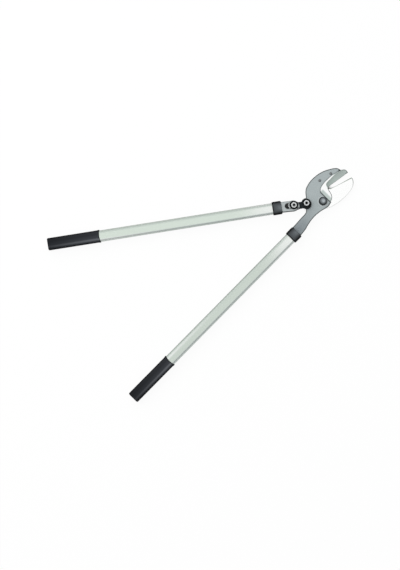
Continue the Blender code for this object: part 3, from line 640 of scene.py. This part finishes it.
def eased_profile(corners, radius, steps=4):
    """Rounds the corners of an open profile: from each, a curve between points radius before and after.

    The curve is (1-t)^2 before + 2t(1-t) corner + t^2 after. Its radius never passes half a side.
    """
    corners = np.array(corners, float)
    before, corner, after = corners[:-2], corners[1:-1], corners[2:]
    reach_in = np.minimum(radius, 0.45 * np.linalg.norm(before - corner, axis=1))[:, None]
    reach_out = np.minimum(radius, 0.45 * np.linalg.norm(after - corner, axis=1))[:, None]
    start = corner + unit(before - corner) * reach_in
    end = corner + unit(after - corner) * reach_out
    t = np.linspace(0, 1, steps)[None, :, None]
    curve = (1 - t) ** 2 * start[:, None] + 2 * t * (1 - t) * corner[:, None] + t**2 * end[:, None]
    return np.vstack([corners[:1], curve.reshape(-1, 2), corners[-1:]]).tolist()


struck_steel = Finish("struck_rivet_steel", "pivot_steel", 0.4, metallic=0.7)
pits = struck_steel.cloud(0.9)
struck_steel.colour(struck_steel.tint(pits, (0.15, 0.16, 0.165), (0.27, 0.285, 0.29)))
struck_steel.grain(pits, 0.04)

for number in (1, 2):
    node = f"cheek_rivet_{number}"
    low, high = heights(node)
    head = radius_of(node)
    seat = body_high + GAP
    dome = [(head * math.sin(a), seat + (high - seat) * math.cos(a)) for a in np.linspace(0, math.pi / 2, 9)]
    dome[1] = (dome[1][0], dome[0][1])
    shank = [(head, seat), (RIVET_SHANK_R, seat), (RIVET_SHANK_R, low), (0, low)]
    turned_piece(f"domed_rivet_{number}", dome + shank, struck_steel, "head", node)


# Pivot bolt, its washers and its nut
# A cup-headed bolt, turned and darkened, with a painted highlight on its crown and painted shade round
# its rim, on a dark washer in front. Behind the blade come a second washer and a thin hexagon nut, both
# zinc plated.
PIVOT_SHANK_R = 5.0
PIVOT_CAP_R = 4.8
PIVOT_RIM = 2.2
PIVOT_DISH = 0.05
PIVOT_THREAD = 8.0
PIVOT_PITCH = 1.5
PIVOT_THREAD_DEPTH = 0.45
PIVOT_POINT = 0.8
PIVOT_UNDER_ROUND = 0.4
CROWN_HIGHLIGHT_AT = 1.3


def thread(radius, depth, pitch, start, end, steps):
    """A thread's profile from one level down to another: a zigzag of one pitch takes off the depth."""
    down = np.linspace(start, end, steps)
    wave = np.abs((down / pitch) % 1 - 0.5) * 2
    return [(radius - depth * w, z) for w, z in zip(wave, down)]


dark_steel = Finish("turned_pivot_steel", "pivot_steel", metallic=0.85)
turning = dark_steel.add("ShaderNodeTexWave", {"wave_type": "RINGS", "rings_direction": "Z"},
                         {"Vector": dark_steel.spot, "Scale": 900.0, "Distortion": 0.6, "Detail": 1.0})
smudge = dark_steel.cloud(4)
away = ((dark_steel.along("X") - CROWN_HIGHLIGHT_AT) ** 2 + dark_steel.along("Y") ** 2) ** 0.5
# Painted highlight on the crown, off centre, and painted shade round the rim of the head.
dark_steel.colour(
    dark_steel.tint(away.faded(6.8, 9.8), (0.014, 0.016, 0.018), (0.17, 0.19, 0.2)),
    (away.faded(2.0, 6.2), (0.42, 0.465, 0.485)),
    (smudge * 0.1, (0.2, 0.22, 0.23)))
dark_steel.drive("Roughness", 0.28 + 0.16 * smudge)
dark_steel.grain(turning, 0.006)

low, high = heights("pivot_bolt")
head = radius_of("pivot_bolt")
seat = heights("pivot_washer_front")[1] + GAP
rim_top = seat + PIVOT_RIM
cup = [(PIVOT_CAP_R + (head - PIVOT_CAP_R) * math.sin(a), rim_top + (high - rim_top) * math.cos(a))
       for a in np.linspace(0, math.pi / 2, 10)]
dish = [(0, high - PIVOT_DISH), (PIVOT_CAP_R * 0.7, high - PIVOT_DISH * 0.4)]
under = eased_profile([(head, rim_top - 0.1), (head, seat), (PIVOT_SHANK_R, seat)], PIVOT_UNDER_ROUND)[1:]
turns = thread(PIVOT_SHANK_R, PIVOT_THREAD_DEPTH, PIVOT_PITCH, low + PIVOT_THREAD, low + PIVOT_POINT, 60)
point = [(PIVOT_SHANK_R - PIVOT_POINT, low), (0, low)]
turned_piece("cup_head_bolt", dish + cup + under + turns + point, dark_steel, "head", "pivot_bolt", sides=96)

zinc_plate = Finish("zinc_plate", "zinc", metallic=1.0)
flakes = zinc_plate.cloud(1.4, 2)
wear_and_shade = zinc_plate.cloud(5)
clear = zinc_plate.add("ShaderNodeAmbientOcclusion", {"samples": 8}, {"Distance": 1.6 * MM}, result="AO")
plating = zinc_plate.tint(flakes, (0.70, 0.73, 0.73), (0.84, 0.86, 0.855))
# Painted shade: the plating darkens where ambient occlusion finds it hemmed in.
zinc_plate.colour(zinc_plate.tint(clear.eased(0.3, 0.85), (0.2, 0.2, 0.19), plating))
zinc_plate.drive("Roughness", 0.14 + 0.2 * wear_and_shade)
zinc_plate.grain(flakes, 0.01)

WASHER_ROUND = 0.45


def washer(name, node, bore, finish, body, dish_depth=0.0):
    """A stamped washer: a closed ring with rolled edges, dished by a little where it is sprung."""
    low, high = heights(node)
    outer = radius_of(node)
    waist = (bore, (low + high) / 2)
    corners = [waist, (bore, high), (outer, high - dish_depth), (outer, low), (bore, low), waist]
    turned_piece(name, eased_profile(corners, WASHER_ROUND)[:-1], finish, body, node, sides=80)


washer("front_pivot_washer", "pivot_washer_front", PIVOT_SHANK_R + GAP, dark_steel, "head", 0.3)
washer("rear_pivot_washer", "pivot_washer_rear", PIVOT_SHANK_R + GAP, zinc_plate, "head")

NUT_SIDES = 120
NUT_FACE = 0.97
NUT_CONE = math.radians(30)
NUT_SINK = 0.3
NUT_FIT = 0.2


def nut(name, node, shank, body):
    """A plated hexagon nut. Its corners follow r = apothem / cos(angle from the flat's middle).

    A cone takes the corners off at both ends, and the bore is countersunk.
    """
    low, high = heights(node)
    packed_low, packed_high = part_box(node)
    apothem = (packed_high.y - packed_low.y) / 2 / MM
    angle = np.linspace(0, math.tau, NUT_SIDES, endpoint=False)
    corner = apothem / np.cos((angle % (math.pi / 3)) - math.pi / 6)
    flat = NUT_FACE * apothem
    slopes = flat + (corner - flat) * np.linspace(0, 1, 5)[:, None]
    drops = (slopes - flat) * math.tan(NUT_CONE)
    bore = shank + NUT_FIT
    profile = [(bore, low + NUT_SINK), (bore, high - NUT_SINK), (bore + NUT_SINK, high)]
    profile += [*zip(slopes, high - drops), *zip(slopes[::-1], low + drops[::-1]), (bore + NUT_SINK, low)]
    turned_piece(name, profile, zinc_plate, body, node, NUT_SIDES, sharp=24)


nut("thin_pivot_nut", "pivot_nut", PIVOT_SHANK_R, "head")


# Link bolt and driver bolt
# Two 8 mm blackened steel bolts: a flat head behind, in front a plated nut on a black washer, and an end
# that is drilled and ground bright. The body's ear holds one. The other, in two bushes, drives the blade.
BOLT_R = 4.0
BOLT_PITCH = 1.25
BOLT_THREAD = 12.0
BOLT_THREAD_DEPTH = 0.4
BOLT_START = 0.7
BOLT_RUN_OUT = 0.5
BOLT_END_CHAMFER = 0.25
BOLT_HEAD_ROUND = 0.6
BOLT_HOLE_R = 3.2
BOLT_HOLE_DEPTH = 4.5
BOLT_HOLE_LIP = 0.15
DRIVER_HEAD = 3.5
WASHER_DISH = 0.25

black_oxide = Finish("black_oxide_steel", "black_steel", specular=0.07)
smut = black_oxide.cloud(2.2)
ground = black_oxide.marked("ground").eased(0.5, 1.0)
black_oxide.colour(
    black_oxide.tint(smut, (0.002, 0.003, 0.003), (0.012, 0.014, 0.015)),
    (ground, (0.86, 0.88, 0.88)))
black_oxide.drive("Metallic", ground)
black_oxide.drive("Roughness", 0.3 + 0.25 * smut)
black_oxide.grain(smut, 0.02)


def flat_head_bolt(name, node, thickness, body):
    """A turned bolt, from its drilled and threaded end down to its flat head of this thickness."""
    low, high = heights(node)
    head = radius_of(node)
    under = low + thickness
    deep = high - BOLT_HOLE_DEPTH
    hole = [(0, deep), (BOLT_HOLE_R - 0.3, deep + 0.3), (BOLT_HOLE_R, deep + 1.0)]
    end = [(BOLT_HOLE_R, high - BOLT_HOLE_LIP), (BOLT_HOLE_R + BOLT_HOLE_LIP, high),
           (BOLT_R - BOLT_END_CHAMFER, high)]
    turns = thread(BOLT_R, BOLT_THREAD_DEPTH, BOLT_PITCH, high - BOLT_START, high - BOLT_THREAD, 90)
    plain = [(BOLT_R, high - BOLT_THREAD - BOLT_RUN_OUT)]
    plate = eased_profile([(BOLT_R, under), (head, under), (head, low), (0, low)], BOLT_HEAD_ROUND)

    def end_ring(places):
        """1 on the face of the threaded end, round its hole."""
        out = np.hypot(*(places[:, :2] - centre_of(node)).T)
        return (out > BOLT_HOLE_R + 0.1) * (places[:, 2] > high - 0.1)

    profile = hole + end + turns + plain + plate
    turned_piece(name, profile, black_oxide, body, node, marks={"ground": end_ring})


flat_head_bolt("ear_bolt", "link_bolt", counter_high - counter_low, "head")
washer("ear_washer", "link_washer", BOLT_R + GAP, black_oxide, "head", WASHER_DISH)
nut("ear_nut", "link_nut", BOLT_R, "head")
flat_head_bolt("tail_bolt", "driver_bolt", DRIVER_HEAD, "cutting_blade")
washer("rear_tail_bush", "driver_bush_rear", BOLT_R + GAP, zinc_plate, "cutting_blade")
washer("front_tail_bush", "driver_bush_front", BOLT_R + GAP, zinc_plate, "cutting_blade")
washer("tail_washer", "driver_washer", BOLT_R + GAP, black_oxide, "cutting_blade", WASHER_DISH)
nut("tail_nut", "driver_nut", BOLT_R, "cutting_blade")


# Knuckle
# A black cast piece that ends the moving handle: an eye in front of the ear, which turns on the link
# bolt, and a shank that runs back between the fork plate and the blade's tail.
EYE_THICKNESS = 5.0
EYE_ROUND = 1.2
EYE_DRAW = 1.3
JAWS_WAY = (0.702, -0.712)
SHANK_ROUND = 0.6

cast_black = Finish("cast_black_knuckle", "black_steel", specular=0.09)
sand = cast_black.cloud(0.8, 4)
# Painted shade blackens its edges.
cast_black.colour(
    cast_black.tint(sand, (0.008, 0.010, 0.011), (0.022, 0.027, 0.029)),
    (0.9 * cast_black.marked("rim").faded(0.2, 1.8), (0.003, 0.003, 0.004)))
cast_black.grain(sand, 0.08)

knuckle_low, knuckle_high = heights("knuckle")
eye_low = knuckle_high - EYE_THICKNESS
shank_high = heights("fork_plate_front")[0] - GAP
eye_loops = [smoothed(loop, corner=32) for loop in face_loops("knuckle", knuckle_high)]
toward_jaws = unit(eye_loops[0] - centre_of("link_bolt")) @ JAWS_WAY
eye_loops[0] = outset(eye_loops[0], -EYE_DRAW * np.clip(toward_jaws, 0, 1))
shank_loops = [smoothed(loop[::-1]) for loop in face_loops("knuckle", knuckle_low)]
eye_points, eye_faces = plate_skin(eye_loops, flat_at(eye_low), flat_at(knuckle_high), EYE_ROUND)
points, faces = plate_skin(shank_loops, flat_at(knuckle_low), flat_at(shank_high), SHANK_ROUND)
faces = eye_faces + [run + len(eye_points) for run in faces]
piece("cast_knuckle", np.concatenate([eye_points, points]), faces, cast_black, "moving_handle", "knuckle",
      marks={"rim": rim_of(eye_loops)})


# Fork plates
# Two steel plates beside the blade's tail, each blanked with a slot for a bush, tumbled round at its
# edges and lacquered a pale satin grey. Two flush rivets hold the front plate to the knuckle.
SHADED_WAY = (-0.593, -0.805)
SHADED_FROM = (5.3, 9.3)
PLATE_ROUND = 0.8
FLUSH_ROUND = 0.35

pale_lacquer = Finish("pale_satin_lacquer", "fork_paint", metallic=0.45)
edge = pale_lacquer.marked("rim")
cloudy = pale_lacquer.cloud(9)
fine = pale_lacquer.cloud(0.5, 2)
shaded = SHADED_WAY[0] * pale_lacquer.along("X") + SHADED_WAY[1] * pale_lacquer.along("Y")
# Painted shade darkens the plates' edges, most along the long edge that faces away from the light.
pale_lacquer.colour(
    pale_lacquer.tint(0.6 * cloudy + 0.3 * fine, (0.36, 0.40, 0.405), (0.54, 0.58, 0.582)),
    (edge.faded(0.0, 1.5), (0.10, 0.112, 0.116)),
    (shaded.eased(*SHADED_FROM) * edge.faded(1.0, 2.9), (0.022, 0.025, 0.026)))
pale_lacquer.drive("Roughness", 0.36 + 0.12 * cloudy)
pale_lacquer.grain(fine, 0.03)

for side in ("front", "rear"):
    node = f"fork_plate_{side}"
    low, high = heights(node)
    loops = [smoothed(loop) for loop in face_loops(node, high)]
    points, faces = plate_skin(loops, flat_at(low), flat_at(high), PLATE_ROUND, spacing=1.8)
    piece(f"slotted_{side}_plate", points, faces, pale_lacquer, "moving_handle", node,
          marks={"rim": rim_of(loops)})
for number in (1, 2):
    node = f"knuckle_rivet_{number}"
    low, high = heights(node)
    head = radius_of(node)
    profile = eased_profile([(0, high), (head, high), (head, low), (0, low)], FLUSH_ROUND)
    turned_piece(f"fork_rivet_{number}", profile, struck_steel, "moving_handle", node, sides=48)


# Inserts and pins
# Moulded blocks that hold the fork plates and the tang in the tubes, and the cross pins through them.
# They are hidden but for the blocks' ends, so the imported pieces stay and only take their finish.
nylon = Finish("moulded_nylon", "insert_plastic")
flow = nylon.cloud(3, 2)
nylon.colour(nylon.tint(flow, (0.012, 0.012, 0.013), (0.025, 0.025, 0.027)))
nylon.grain(flow, 0.02)
for kind, finish in (("insert", nylon), ("pin", zinc_plate)):
    for handle in ("fixed", "moving"):
        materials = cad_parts[f"{handle}_{kind}"].data.materials
        materials.clear()
        materials.append(finish.material)


# Handle tubes
# Extruded aluminium, pale anodised: flat in front and behind with well rounded sides, and with fine
# die lines along it. Left and right are the tool's own with its jaws up.
class Handle:
    """One handle: its body, and its axes along it to the grip, across it to the right, and up."""

    def __init__(self, tube, body):
        spots = places_of(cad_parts[tube].data)[:, :2]
        ends = spots.min(0) + spots.max(0)
        run = np.linalg.svd(spots - ends / 2, full_matrices=False)[2][0]
        run = run * np.sign(run @ ends)
        self.body = body
        self.turn = math.atan2(run[1], run[0])
        self.axes = np.array([(run[0], run[1], 0), (-run[1], run[0], 0), (0, 0, 1)])

    def extent(self, node):
        """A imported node's start and end along the handle, and its middle and size across and up."""
        spots = places_of(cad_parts[node].data) @ self.axes.T
        low, high = spots.min(0), spots.max(0)
        return low[0], high[0], (low[1:] + high[1:]) / 2, high[1:] - low[1:]


def box_section(width, height, corner, arc_steps=8, side_steps=6):
    """Round-cornered sections, one for each row of widths, heights and radii: places across and up.

    Points on the straight sides run between the corners' centres, and the rest turn about them.
    """
    quarter = np.linspace(0, math.pi / 2, arc_steps)
    between = np.linspace(0, 1, side_steps + 2)[1:-1, None]
    core, way = [], []
    for turn in range(4):
        c, s = round(math.cos(turn * math.pi / 2)), round(math.sin(turn * math.pi / 2))
        angle = quarter + turn * math.pi / 2
        start, end = np.array([c - s, s + c]), np.array([-s - c, c - s])
        core += [np.tile(start, (arc_steps, 1)), start + (end - start) * between]
        way += [np.stack([np.cos(angle), np.sin(angle)], 1), np.tile([-s, c], (side_steps, 1))]
    core, way = np.concatenate(core), np.concatenate(way)
    return (core[:, 0] * (width / 2 - corner) + way[:, 0] * corner,
            core[:, 1] * (height / 2 - corner) + way[:, 1] * corner)


def sleeve(name, rows, finish, handle, node, marks, closed=True, dip=0, sharp=50):
    """A piece round a handle: at each (along, width, height, corner) a round-cornered section.

    dip moves a point along the handle by its row's amount times 1 - (across / half width)^2. The marks
    depend on the mm along from the node's start and across from its middle.
    """
    start, _, middle, _ = handle.extent(node)
    along, width, height, corner = np.array(rows, float).T[..., None]
    across, up = box_section(width, height, corner)
    bulge = 1 - np.clip(across / np.maximum(width / 2, 1e-3), -1, 1) ** 2
    spots = np.stack([along + np.reshape(dip, (-1, 1)) * bulge, middle[0] + across, middle[1] + up], 2)

    def placed(number):
        return lambda places: number(*(places @ handle.axes.T - (start, *middle)).T[:2])

    faces = grid_faces(*across.shape, closed, True)
    piece(name, spots.reshape(-1, 3) @ handle.axes, [faces], finish, handle.body, node,
          {mark: placed(number) for mark, number in marks.items()}, sharp)


def drawn_in(size, corner, stations):
    """Rows for a sleeve: at each (along, inset), a section of this size drawn in all round."""
    return [(along, size[0] - 2 * inset, size[1] - 2 * inset, corner - inset) for along, inset in stations]


def ridge(across, place, reach):
    """1 along a line at a place across the handle, falling to 0 beside it as exp(-(distance / reach)^2)."""
    return np.exp(-((across - place) / reach) ** 2)


TUBE_WALL = 1.6
TUBE_CORNER = 7.0
TUBE_CHAMFER = 0.3
SIDE_SHADE_BAND = 1.7
RIGHT_SHARE = 0.7
FRONT_LIGHT_REACH = 85
LEFT_SHOULDER = -9.7
RIGHT_SHOULDER = 10.8
SHOULDER_REACH = 2.2
HIGHLIGHT_RUN = {"fixed": -6.9, "moving": 10.2}
# Painted light and shade: each tube's front takes its own grey.
LIT_PLATEAU = {"fixed": (0.655, 0.728, 0.665), "moving": (0.725, 0.81, 0.735)}


def anodised(name, turn, lit_plateau):
    """Pale anodised aluminium with die lines along the handle, with painted shade where its sides turn away.
    """
    finish = Finish(name, "tube_aluminium", metallic=0.9)
    finish.drive("Specular Tint", (0.4, 0.42, 0.4))
    lines = finish.cloud(0.5, turn=turn, reach=(220, 1, 1))
    drift = finish.cloud(60, 2, turn=turn, reach=(3, 1, 1))
    dusk = tuple(0.9 * share for share in lit_plateau)
    finish.colour(
        finish.tint(0.35 * lines + 0.5 * drift, dusk, lit_plateau),
        # Painted light by the collar.
        (finish.marked("front").eased(0.0, 1.0), (0.86, 0.89, 0.865)),
        # Painted shade, a dark line along the left shoulder, and painted light along the right one.
        (finish.marked("left"), (0.50, 0.56, 0.52)),
        (finish.marked("right"), (0.80, 0.875, 0.86)),
        # Painted highlight toward the grip.
        (finish.marked("bright"), (1.0, 1.0, 1.0)),
        # Painted shade on the sides.
        (finish.marked("side").eased(0.0, 1.0), (0.25, 0.28, 0.26)))
    finish.drive("Roughness", 0.3 + 0.12 * lines)
    finish.grain(lines, 0.006)
    return finish


def handle_tube(name, handle):
    """A tube with chamfered ends, its wall turned in at both. A painted light makes it pale beside the
    collar.
    """
    start, end, _, size = handle.extent(f"{name}_tube")
    stations = np.linspace(start + TUBE_CHAMFER, end - TUBE_CHAMFER, 24)
    outer = [(start, TUBE_CHAMFER)] + [(x, 0) for x in stations] + [(end, TUBE_CHAMFER)]
    bore = [(x, TUBE_WALL) for x in (end, *stations[::-6], start)]

    def side(along, across):
        """Painted shade: 1 along the tube's left side and less along its right side, below 0 on its front.
        """
        return (1 - (size[0] / 2 - np.abs(across)) / SIDE_SHADE_BAND) * np.where(across > 0, RIGHT_SHARE, 1)

    def bright(along, across):
        """A painted highlight: rises from 0 near the middle of the tube to 1 at its end, on one shoulder
        only.
        """
        share = np.clip(2 * along / (end - start) - 0.9, 0, 1)
        return share * ridge(across, HIGHLIGHT_RUN[name], SHOULDER_REACH)

    marks = {"side": side, "bright": bright,
             "front": lambda along, across: ridge(along, 0, FRONT_LIGHT_REACH),
             "left": lambda along, across: ridge(across, LEFT_SHOULDER, SHOULDER_REACH),
             "right": lambda along, across: ridge(across, RIGHT_SHOULDER, SHOULDER_REACH)}
    finish = anodised(f"anodised_{name}_tube", handle.turn, LIT_PLATEAU[name])
    rows = drawn_in(size, TUBE_CORNER, outer + bore)
    sleeve(f"{name}_handle_tube", rows, finish, handle, f"{name}_tube", marks)


handles = {"fixed": Handle("fixed_tube", "head"), "moving": Handle("moving_tube", "moving_handle")}
for name, handle in handles.items():
    handle_tube(name, handle)


# Collars
# Moulded collars that close the front of the tubes round the fork plates and the tang. Their faces are
# flat and matt, and all their edges roll away to a narrow lip.
COLLAR_CORNER = 9.0
COLLAR_ROLL = 3.2
COLLAR_SINK = 1.3
COLLAR_LIP = 0.1
HEAD_FADE = (-0.6, 2.0)
TUBE_FADE = (1.6, 3.4)
SIDE_FADE = (3.0, 12.0)

matt_collar = Finish("matt_collar_plastic", "collar_plastic", specular=0.05)
pebble = matt_collar.cloud(0.7)
matt_collar.colour(
    matt_collar.tint(pebble, (0.105, 0.117, 0.125), (0.155, 0.172, 0.184)),
    # Painted shade blackens the rolled ends and sides.
    (matt_collar.marked("roll"), (0.001, 0.001, 0.001)))
matt_collar.drive("Roughness", 0.48 + 0.15 * pebble)
matt_collar.grain(pebble, 0.05)


def moulded_collar(name, handle):
    """A collar: its ends roll in by a quarter of an ellipse, and its bore clears the tube."""
    start, end, _, size = handle.extent(f"{name}_collar")
    tube_size = handle.extent(f"{name}_tube")[3]
    roll = [(COLLAR_ROLL * (1 - math.sin(a)), COLLAR_SINK * (1 - math.cos(a)))
            for a in np.linspace(math.pi / 2, 0, 7)]
    outer = [(start + x, inset) for x, inset in roll] + [(end - x, inset) for x, inset in roll[::-1]]
    bore = [(x, -GAP) for x in (end, end - COLLAR_LIP, start + COLLAR_LIP, start)]
    rows = drawn_in(size, COLLAR_CORNER, outer) + drawn_in(tube_size, TUBE_CORNER, bore)

    def shaded_roll(along, across):
        """Painted shade: 0 on the flat front of a collar, 1 on its rolled ends and sides."""
        head_end = (along - HEAD_FADE[0]) / HEAD_FADE[1]
        tube_end = (end - start - along - TUBE_FADE[0]) / TUBE_FADE[1]
        side = 1 - (np.abs(across) - SIDE_FADE[0]) / SIDE_FADE[1]
        return np.clip(1 - np.minimum(np.minimum(head_end, tube_end), side), 0, 1)

    sleeve(f"{name}_moulded_collar", rows, matt_collar, handle, f"{name}_collar", {"roll": shaded_roll})


for name, handle in handles.items():
    moulded_collar(name, handle)


# Grips
# Soft rubber sleeves pushed on to the tubes. Each ends in front in a flared lip, hollowed a little in
# the middle, and behind in a closed end with round corners. A faint mould line runs along both sides.
GRIP_CORNER = 10.0
GRIP_DRAW = 0.65
GRIP_ROLL = 3.2
LIP = [(0.0, 0.9), (0.25, 0.35), (0.8, 0.05), (1.6, 0.0)]
LIP_DIP = 2.6
DIP_REACH = 14
FLARE = (2.2, 7.2)
BARREL_INSET = (9, 5)
POCKET_MOUTH = 0.4
CAP_SHARE = 0.4
CAP_CORNER = 5.0
LIP_FADE = 2.6
END_FADE = 2.4
EDGE_FADE = (1.0, 3.6)
MOULD_LINE = 0.45
STREAK_PLACE = 7.2
STREAK_WIDTH = 2.4
LEFT_SHADE = 7

soft_rubber = Finish("soft_grip_rubber", "grip_rubber", specular=0.05)
matt = soft_rubber.cloud(0.5)
bloom = soft_rubber.cloud(30)
edge = soft_rubber.marked("roll")
wear_and_shade = soft_rubber.marked("back")
soft_rubber.colour(
    soft_rubber.tint(0.6 * matt + 0.4 * bloom, (0.028, 0.031, 0.036), (0.048, 0.052, 0.060)),
    # Painted shade: darker toward the closed end.
    (wear_and_shade, (0.016, 0.018, 0.021)),
    # Painted highlight: a lighter streak along one shoulder, fading toward the closed end.
    (soft_rubber.marked("highlight_streak") * (1 - 0.85 * wear_and_shade), (0.13, 0.137, 0.15)),
    # Painted shade on the left.
    (0.4 * soft_rubber.marked("left"), (0.004, 0.004, 0.005)),
    # Painted shade blackens the rolled ends and sides.
    (edge, (0.001, 0.001, 0.001)))
soft_rubber.drive("Roughness", 0.42 + 0.2 * bloom + 0.35 * edge)
from_line = abs(soft_rubber.along("Z") - sum(heights("fixed_grip")) / 2)
soft_rubber.grain(matt + 5 * from_line.faded(0.0, MOULD_LINE), 0.05)


def rubber_grip(name, handle):
    """A grip from the floor of its pocket out to the lip and back over the barrel to its closed end."""
    start, end, _, size = handle.extent(f"{name}_grip")
    _, tube_end, _, tube_size = handle.extent(f"{name}_tube")
    pocket = tube_end + GAP
    lip = [(start + x, inset) for x, inset in LIP]
    flare = [(start + x, GRIP_DRAW * (0.5 - 0.5 * math.cos(turn)))
             for x, turn in zip(np.linspace(*FLARE, 6), np.linspace(0, math.pi, 6))]
    barrel = [(x, GRIP_DRAW) for x in np.linspace(start + BARREL_INSET[0], end - BARREL_INSET[1], 12)]
    tail = [(end - GRIP_ROLL * (1 - math.sin(a)), GRIP_DRAW + GRIP_ROLL * (1 - math.cos(a)))
            for a in np.linspace(0, math.pi / 2, 8)[1:]]
    rows = [(pocket, 0, 0, 0)]
    rows += drawn_in(tube_size, TUBE_CORNER, [(pocket, -GAP), (start + POCKET_MOUTH, -GAP)])
    rows += drawn_in(size, GRIP_CORNER, lip + flare + barrel + tail)
    rows += [(end, size[0] * CAP_SHARE, size[1] * CAP_SHARE, CAP_CORNER), (end, 0, 0, 0)]
    dip = LIP_DIP * np.clip(1 - (np.array(rows)[:, 0] - start) / DIP_REACH, 0, 1)

    def shaded_roll(along, across):
        """Painted shade: 0 on the flat front of a grip, 1 on its ends and sides."""
        front = along - LIP_DIP * (1 - (across / (size[0] / 2)) ** 2)
        ends = np.minimum(front / LIP_FADE, (end - start - along) / END_FADE)
        side = (size[0] / 2 - np.abs(across) - EDGE_FADE[0]) / EDGE_FADE[1]
        return np.clip(1 - np.minimum(ends, side), 0, 1)

    marks = {"roll": shaded_roll,
             "back": lambda along, across: along / (end - start),
             "highlight_streak": lambda along, across: ridge(across, STREAK_PLACE, STREAK_WIDTH),
             "left": lambda along, across: np.clip(-across / LEFT_SHADE, 0, 1)}
    sleeve(f"{name}_rubber_grip", rows, soft_rubber, handle, f"{name}_grip", marks, False, dip, sharp=60)


for name, handle in handles.items():
    rubber_grip(name, handle)


# Floor, light and camera
# A white sweep, dark where a gap leaves it little sky, under a bright dome that leans toward the moving
# handle, so that the far sides of the tubes fall into shade. One soft box adds a faint shadow.
FLOOR_HALF = 6.0
FLOOR_LEVEL = -0.0004
FLOOR_SHOWN = 0.94
GAP_REACH = 0.03
GAP_SHADE = (0.23, 0.37)
ZENITH_LEAN = math.radians(25)
DOME_EDGE = (math.cos(math.radians(66)), math.cos(math.radians(34)))
DOME_DARK = 0.34
HOT_LEAN = math.radians(44)
HOT_EDGE = (math.cos(math.radians(27)), math.cos(math.radians(10)))
HOT_GAIN = 0.3
LAMP_PLACE = (-0.35, 1.9, 2.2)
LAMP_AIM_Y = 0.1
LAMP_SIZE = 3.2
LAMP_POWER = 46
PHOTO_TURN = math.radians(-45.4)
PHOTO_CENTRE = (-0.3708, 0.0728)
PHOTO_HEIGHT = 1.4478
PHOTO_LEVEL = 0.015
LENS = 200
SENSOR = 36

floor_mesh = bpy.data.meshes.new("floor")
corners = [(x * FLOOR_HALF, y * FLOOR_HALF, FLOOR_LEVEL) for x, y in ((-1, -1), (1, -1), (1, 1), (-1, 1))]
floor_mesh.from_pydata(corners, [], [(0, 1, 2, 3)])
floor = bpy.data.objects.new("floor", floor_mesh)
bpy.context.scene.collection.objects.link(floor)
white_floor = Finish("white_floor", "", 0.9, specular=0.0)
white_floor.colour(white_floor.tint(white_floor.cloud(300, 2), (0.90, 0.90, 0.90), (0.93, 0.93, 0.93)))
lit = Shade(white_floor, white_floor.shader.outputs[0])
seen = sum(white_floor.add("ShaderNodeLightPath", result=f"Is {ray} Ray")
           for ray in ("Camera", "Glossy", "Transmission"))
glow = white_floor.add("ShaderNodeEmission", sockets={"Color": (1, 1, 1), "Strength": 1.0})
dark = white_floor.add("ShaderNodeEmission", sockets={"Color": (0, 0, 0), "Strength": 0.0})
# Painted shadow: where ambient occlusion finds little open sky, the floor's glow turns black.
sky_share = white_floor.add("ShaderNodeAmbientOcclusion", {"samples": 64}, {"Distance": GAP_REACH},
                            result="AO")
bright = white_floor.add("ShaderNodeMixShader", sockets={0: sky_share.eased(*GAP_SHADE), 1: dark, 2: glow})
shown = white_floor.add("ShaderNodeMixShader", sockets={0: FLOOR_SHOWN * seen, 1: lit, 2: bright})
white_floor.feed(white_floor.tree.nodes["Material Output"].inputs["Surface"], shown)
floor_mesh.materials.append(white_floor.material)

world = bpy.data.worlds.new("studio")
world.use_nodes = True
bpy.context.scene.world = world
sky = Nodes(world.node_tree)
way = sky.add("ShaderNodeTexCoord", result="Generated")


def sky_spot(lean, rim):
    """A round light in the sky: the cosine to an axis that leans from the zenith to +Y, eased at its rim."""
    axis = (0, math.sin(lean), math.cos(lean))
    cosine = sky.add("ShaderNodeVectorMath", {"operation": "DOT_PRODUCT"}, {0: way, 1: axis}, result="Value")
    return cosine.eased(*rim)


dome = DOME_DARK + (1 - DOME_DARK) * sky_spot(ZENITH_LEAN, DOME_EDGE)
dome = dome + HOT_GAIN * sky_spot(HOT_LEAN, HOT_EDGE)
strength = dome + (1 - dome) * sky.add("ShaderNodeLightPath", result="Is Camera Ray")
background = sky.tree.nodes["Background"]
sky.feed(background.inputs["Color"], (1, 1, 1))
sky.feed(background.inputs["Strength"], strength)

lamp = bpy.data.lights.new("soft_box", "AREA")
lamp.shape = "DISK"
lamp.size = LAMP_SIZE
lamp.energy = LAMP_POWER
soft_box = bpy.data.objects.new("soft_box", lamp)
soft_box.location = LAMP_PLACE
soft_box.rotation_euler = (-math.atan2(LAMP_PLACE[1] - LAMP_AIM_Y, LAMP_PLACE[2]), 0, 0)
soft_box.visible_camera = False
soft_box.visible_glossy = False
bpy.context.scene.collection.objects.link(soft_box)

camera_data = bpy.data.cameras.new("photo_camera")
camera_data.lens = LENS
camera_data.sensor_width = SENSOR
distance = PHOTO_HEIGHT * LENS / SENSOR
camera_data.clip_end = 3 * distance
camera = bpy.data.objects.new("photo_camera", camera_data)
camera.location = (*PHOTO_CENTRE, distance + PHOTO_LEVEL)
camera.rotation_euler = (0, 0, PHOTO_TURN)
bpy.context.scene.collection.objects.link(camera)
bpy.context.scene.camera = camera
bpy.context.scene.view_settings.view_transform = "Standard"
